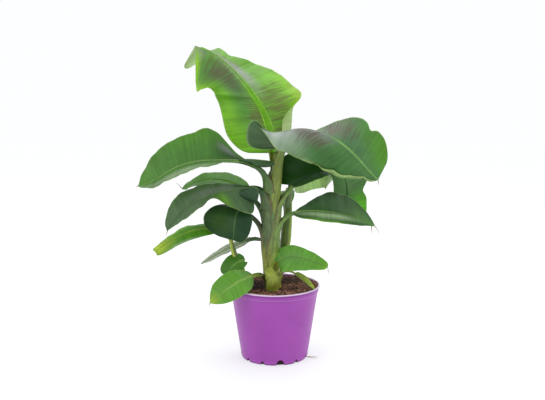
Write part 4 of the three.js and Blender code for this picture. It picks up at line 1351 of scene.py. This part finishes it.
def value_noise(x, y, scale, seed):
    """Smooth random heights over a plane."""
    table = np.random.default_rng(seed).uniform(-1, 1, (NOISE_TABLE, NOISE_TABLE))
    x, y = x / scale + 20, y / scale + 20
    i, j = np.floor(x).astype(int), np.floor(y).astype(int)
    fx, fy = smooth(x - i), smooth(y - j)

    def row(k):
        near, far = (table[at % NOISE_TABLE, k % NOISE_TABLE] for at in (i, i + 1))
        return near * (1 - fx) + far * fx

    return row(j) * (1 - fy) + row(j + 1) * fy


def soil_height(x, y):
    """The soil's uneven top, with a low mound, a heap at the right and a bank at the back."""
    bumps = sum(height * value_noise(x, y, length, seed) for height, length, seed in SOIL_BUMPS)
    heap = 9.0 * np.exp(-((x - 82) ** 2 + (y - 14) ** 2) / 420)
    mound = 2.0 * np.exp(-(x**2 + y**2) / 2500)
    bank = 4.5 * smooth((y - 15) / 55)
    return SOIL_LEVEL - 1.8 + bumps + heap + mound + bank


def soil_ring(turn, radius):
    points = circle(turn, radius)
    points[:, 2] = soil_height(points[:, 0], points[:, 1])
    return points


def soil_piece():
    """A closed disc of soil with an uneven top."""
    edge = wall_radius(SOIL_LEVEL) - POT_WALL - 0.2
    turn, bottom = full_turn(SOIL_SIDES), SOIL_LEVEL - SOIL_DEPTH
    top = [soil_ring(turn, edge * i / SOIL_RINGS) for i in range(1, SOIL_RINGS + 1)]
    middle = [(0, 0, float(soil_height(0.0, 0.0)))]
    points = np.concatenate([middle, *top, circle(turn, edge * 0.99, bottom), [(0, 0, bottom)]])
    faces = flipped(capped_faces(SOIL_RINGS + 1, SOIL_SIDES))
    piece = mesh_piece("soil_bed", points, faces, "peat")
    add_value(piece, "shade")
    return piece


def litter_ground(low, high):
    """The soil's open top between two radii, for crumbs to lie on."""
    rings, turn = 12, full_turn(60)
    points = np.concatenate([soil_ring(turn, radius) for radius in np.linspace(low, high, rings)])
    return mesh_piece("litter_ground", points, flipped(band_faces(rings, len(turn))))


def litter_pieces():
    tree = litter_tree()
    crumbs = {"Density": 90000.0, "Smallest": 0.0007, "Largest": 0.0024, "Flatness": 0.75, "Seed": 3}
    bark = {"Density": 7000.0, "Smallest": 0.002, "Largest": 0.0052, "Flatness": 0.35, "Seed": 8}
    return [
        grown("soil_crumbs", litter_ground(6, 86), tree, crumbs, "peat"),
        grown("soil_bark", litter_ground(10, 84), tree, bark, "peat"),
    ]


# ---- threads ----
THREAD_STATIONS = 60

# Dried threads: the leaf, the place along it, which margin (left 0, tip 1, right 2), and the steps
# from there.
THREADS = [
    ("right_middle_leaf", 1.0, 1, [[4, 0, -5], [7, -1, -10], [6, -1, -16]]),
    ("right_middle_leaf", 0.95, 2, [[0, 0, -5], [1, 0, -12], [1, 1, -17]]),
    ("right_leaf", 1.0, 1, [[1, 0, -5], [1, 0, -10]]),
    ("left_back_leaf", 1.0, 1, [[-4, 1, 4], [-8, 2, 9], [-13, 3, 11]]),
    ("left_middle_leaf", 1.0, 1, [[-1, 0, -5], [-2, 0, -9]]),
    ("left_leaf", 1.0, 1, [[-3, 0, -2], [-6, 0, -2]]),
    ("right_low_leaf", 1.0, 1, [[1, 0, -5], [2, 0, -11], [2, 0, -15]]),
    ("left_rim_leaf", 1.0, 1, [[-1, 0, -3], [-1, 0, -6]]),
]

# Roots that grow out of the drain notches and lie on the ground.
ROOTS = [
    [[66, -22, 3], [70, -24, 2], [76, -24, 1.4], [82, -28, 1.2], [86, -33, 1.2]],
    [[68, -20, 2.4], [75, -20, 1.4], [84, -19, 1.2], [90, -22, 1.2]],
]


def thread_lines():
    lines = []
    for name, place, margin, steps in THREADS:
        points = blade_grid(name, LEAVES[name], THREAD_STATIONS)[0]
        column = [0, points.shape[1] // 2, points.shape[1] - 1][margin]
        start = points[round(place * THREAD_STATIONS), column]
        lines.append((start + np.array([[0, 0, 0], *steps])).tolist())
    return lines


def thread_piece(name, lines, width):
    points, edges = [], []
    for line in lines:
        edges += [(len(points) + i, len(points) + i + 1) for i in range(len(line) - 1)]
        points += line
    source = mesh_piece(name + "_line", points, [], edges=edges)
    return grown(name, source, thread_tree(), {"Width": width * MM}, "dry_fibre")


# ---- the plant ----
def own(piece, slot, *nodes):
    """Hands a finished piece over: its body, and the solids that it stands for. The slot is not used."""
    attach(piece, "root")
    if nodes:
        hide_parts(*nodes)


for name, leaf in LEAVES.items():
    blade, frames = blade_piece(name, leaf, LOOKS[name])
    own(blade, "leaf", name)
    petiole = stalk_piece(name, leaf, LOOKS[name], frames)
    own(petiole, "stalk", name + "_stalk")

for name, stem in STEMS.items():
    core = stem_piece(name, stem)
    own(core, "stem" if name == "main_stem" else "shoot", name)

for name, lobe in LOBES.items():
    own(lobe_piece(name, lobe), "leaf")

own(pot_piece(), "pot", "pot")
own(soil_piece(), "soil", "soil")
own(foot_soil_piece(), "soil")
for piece in litter_pieces():
    own(piece, "soil")
own(thread_piece("tip_threads", thread_lines(), 1.0), "leaf")
own(thread_piece("root_threads", ROOTS, 0.6), "leaf")


# ---- studio ----
FLOOR_REACH = 6000
DAYLIGHT = (0.985, 0.99, 1.0, 1.0)
CAMERA_PLACE = (-0.004, -1.5, 0.54)
CAMERA_DOWN = 8.3
CAMERA_LENS, CAMERA_SENSOR = 50, 36
LAMP_AIM = (0, 0, 0.3)
# Name, place and size in metres, and power in watts.
LAMPS = [
    ("key_light", (-1.5, -1.0, 1.6), 1.2, 11),
    ("fill_light", (1.7, -0.6, 1.2), 1.2, 8),
    ("top_light", (0.2, 0.8, 2.0), 1.4, 12),
]


def lamp(name, place, size, power):
    """A soft square light that faces the plant."""
    data = bpy.data.lights.new(name, "AREA")
    data.size = size
    data.energy = power
    light = bpy.data.objects.new(name, data)
    light.location = place
    aim = np.array(LAMP_AIM) - np.array(place)
    flat = math.hypot(aim[0], aim[1])
    light.rotation_euler = (math.atan2(flat, -aim[2]), 0, math.atan2(aim[1], aim[0]) - math.pi / 2)
    bpy.context.scene.collection.objects.link(light)


def studio():
    """A pale floor, even daylight, soft lamps and the camera."""
    scene = bpy.context.scene
    scene.view_settings.view_transform = "Standard"
    corners = [(x * FLOOR_REACH, y * FLOOR_REACH, 0) for x, y in ((-1, -1), (1, -1), (1, 1), (-1, 1))]
    mesh_piece("studio_floor", corners, [[0, 1, 2, 3]], "studio_floor")
    world = bpy.data.worlds.new("studio")
    world.use_nodes = True
    sky = world.node_tree.nodes["Background"].inputs
    sky[0].default_value = DAYLIGHT
    sky[1].default_value = 1.0
    scene.world = world
    for settings in LAMPS:
        lamp(*settings)
    camera = bpy.data.objects.new("camera", bpy.data.cameras.new("camera"))
    camera.data.lens = CAMERA_LENS
    camera.data.sensor_width = CAMERA_SENSOR
    camera.location = CAMERA_PLACE
    camera.rotation_euler = (math.radians(90 - CAMERA_DOWN), 0, 0)
    scene.collection.objects.link(camera)
    scene.camera = camera


studio()
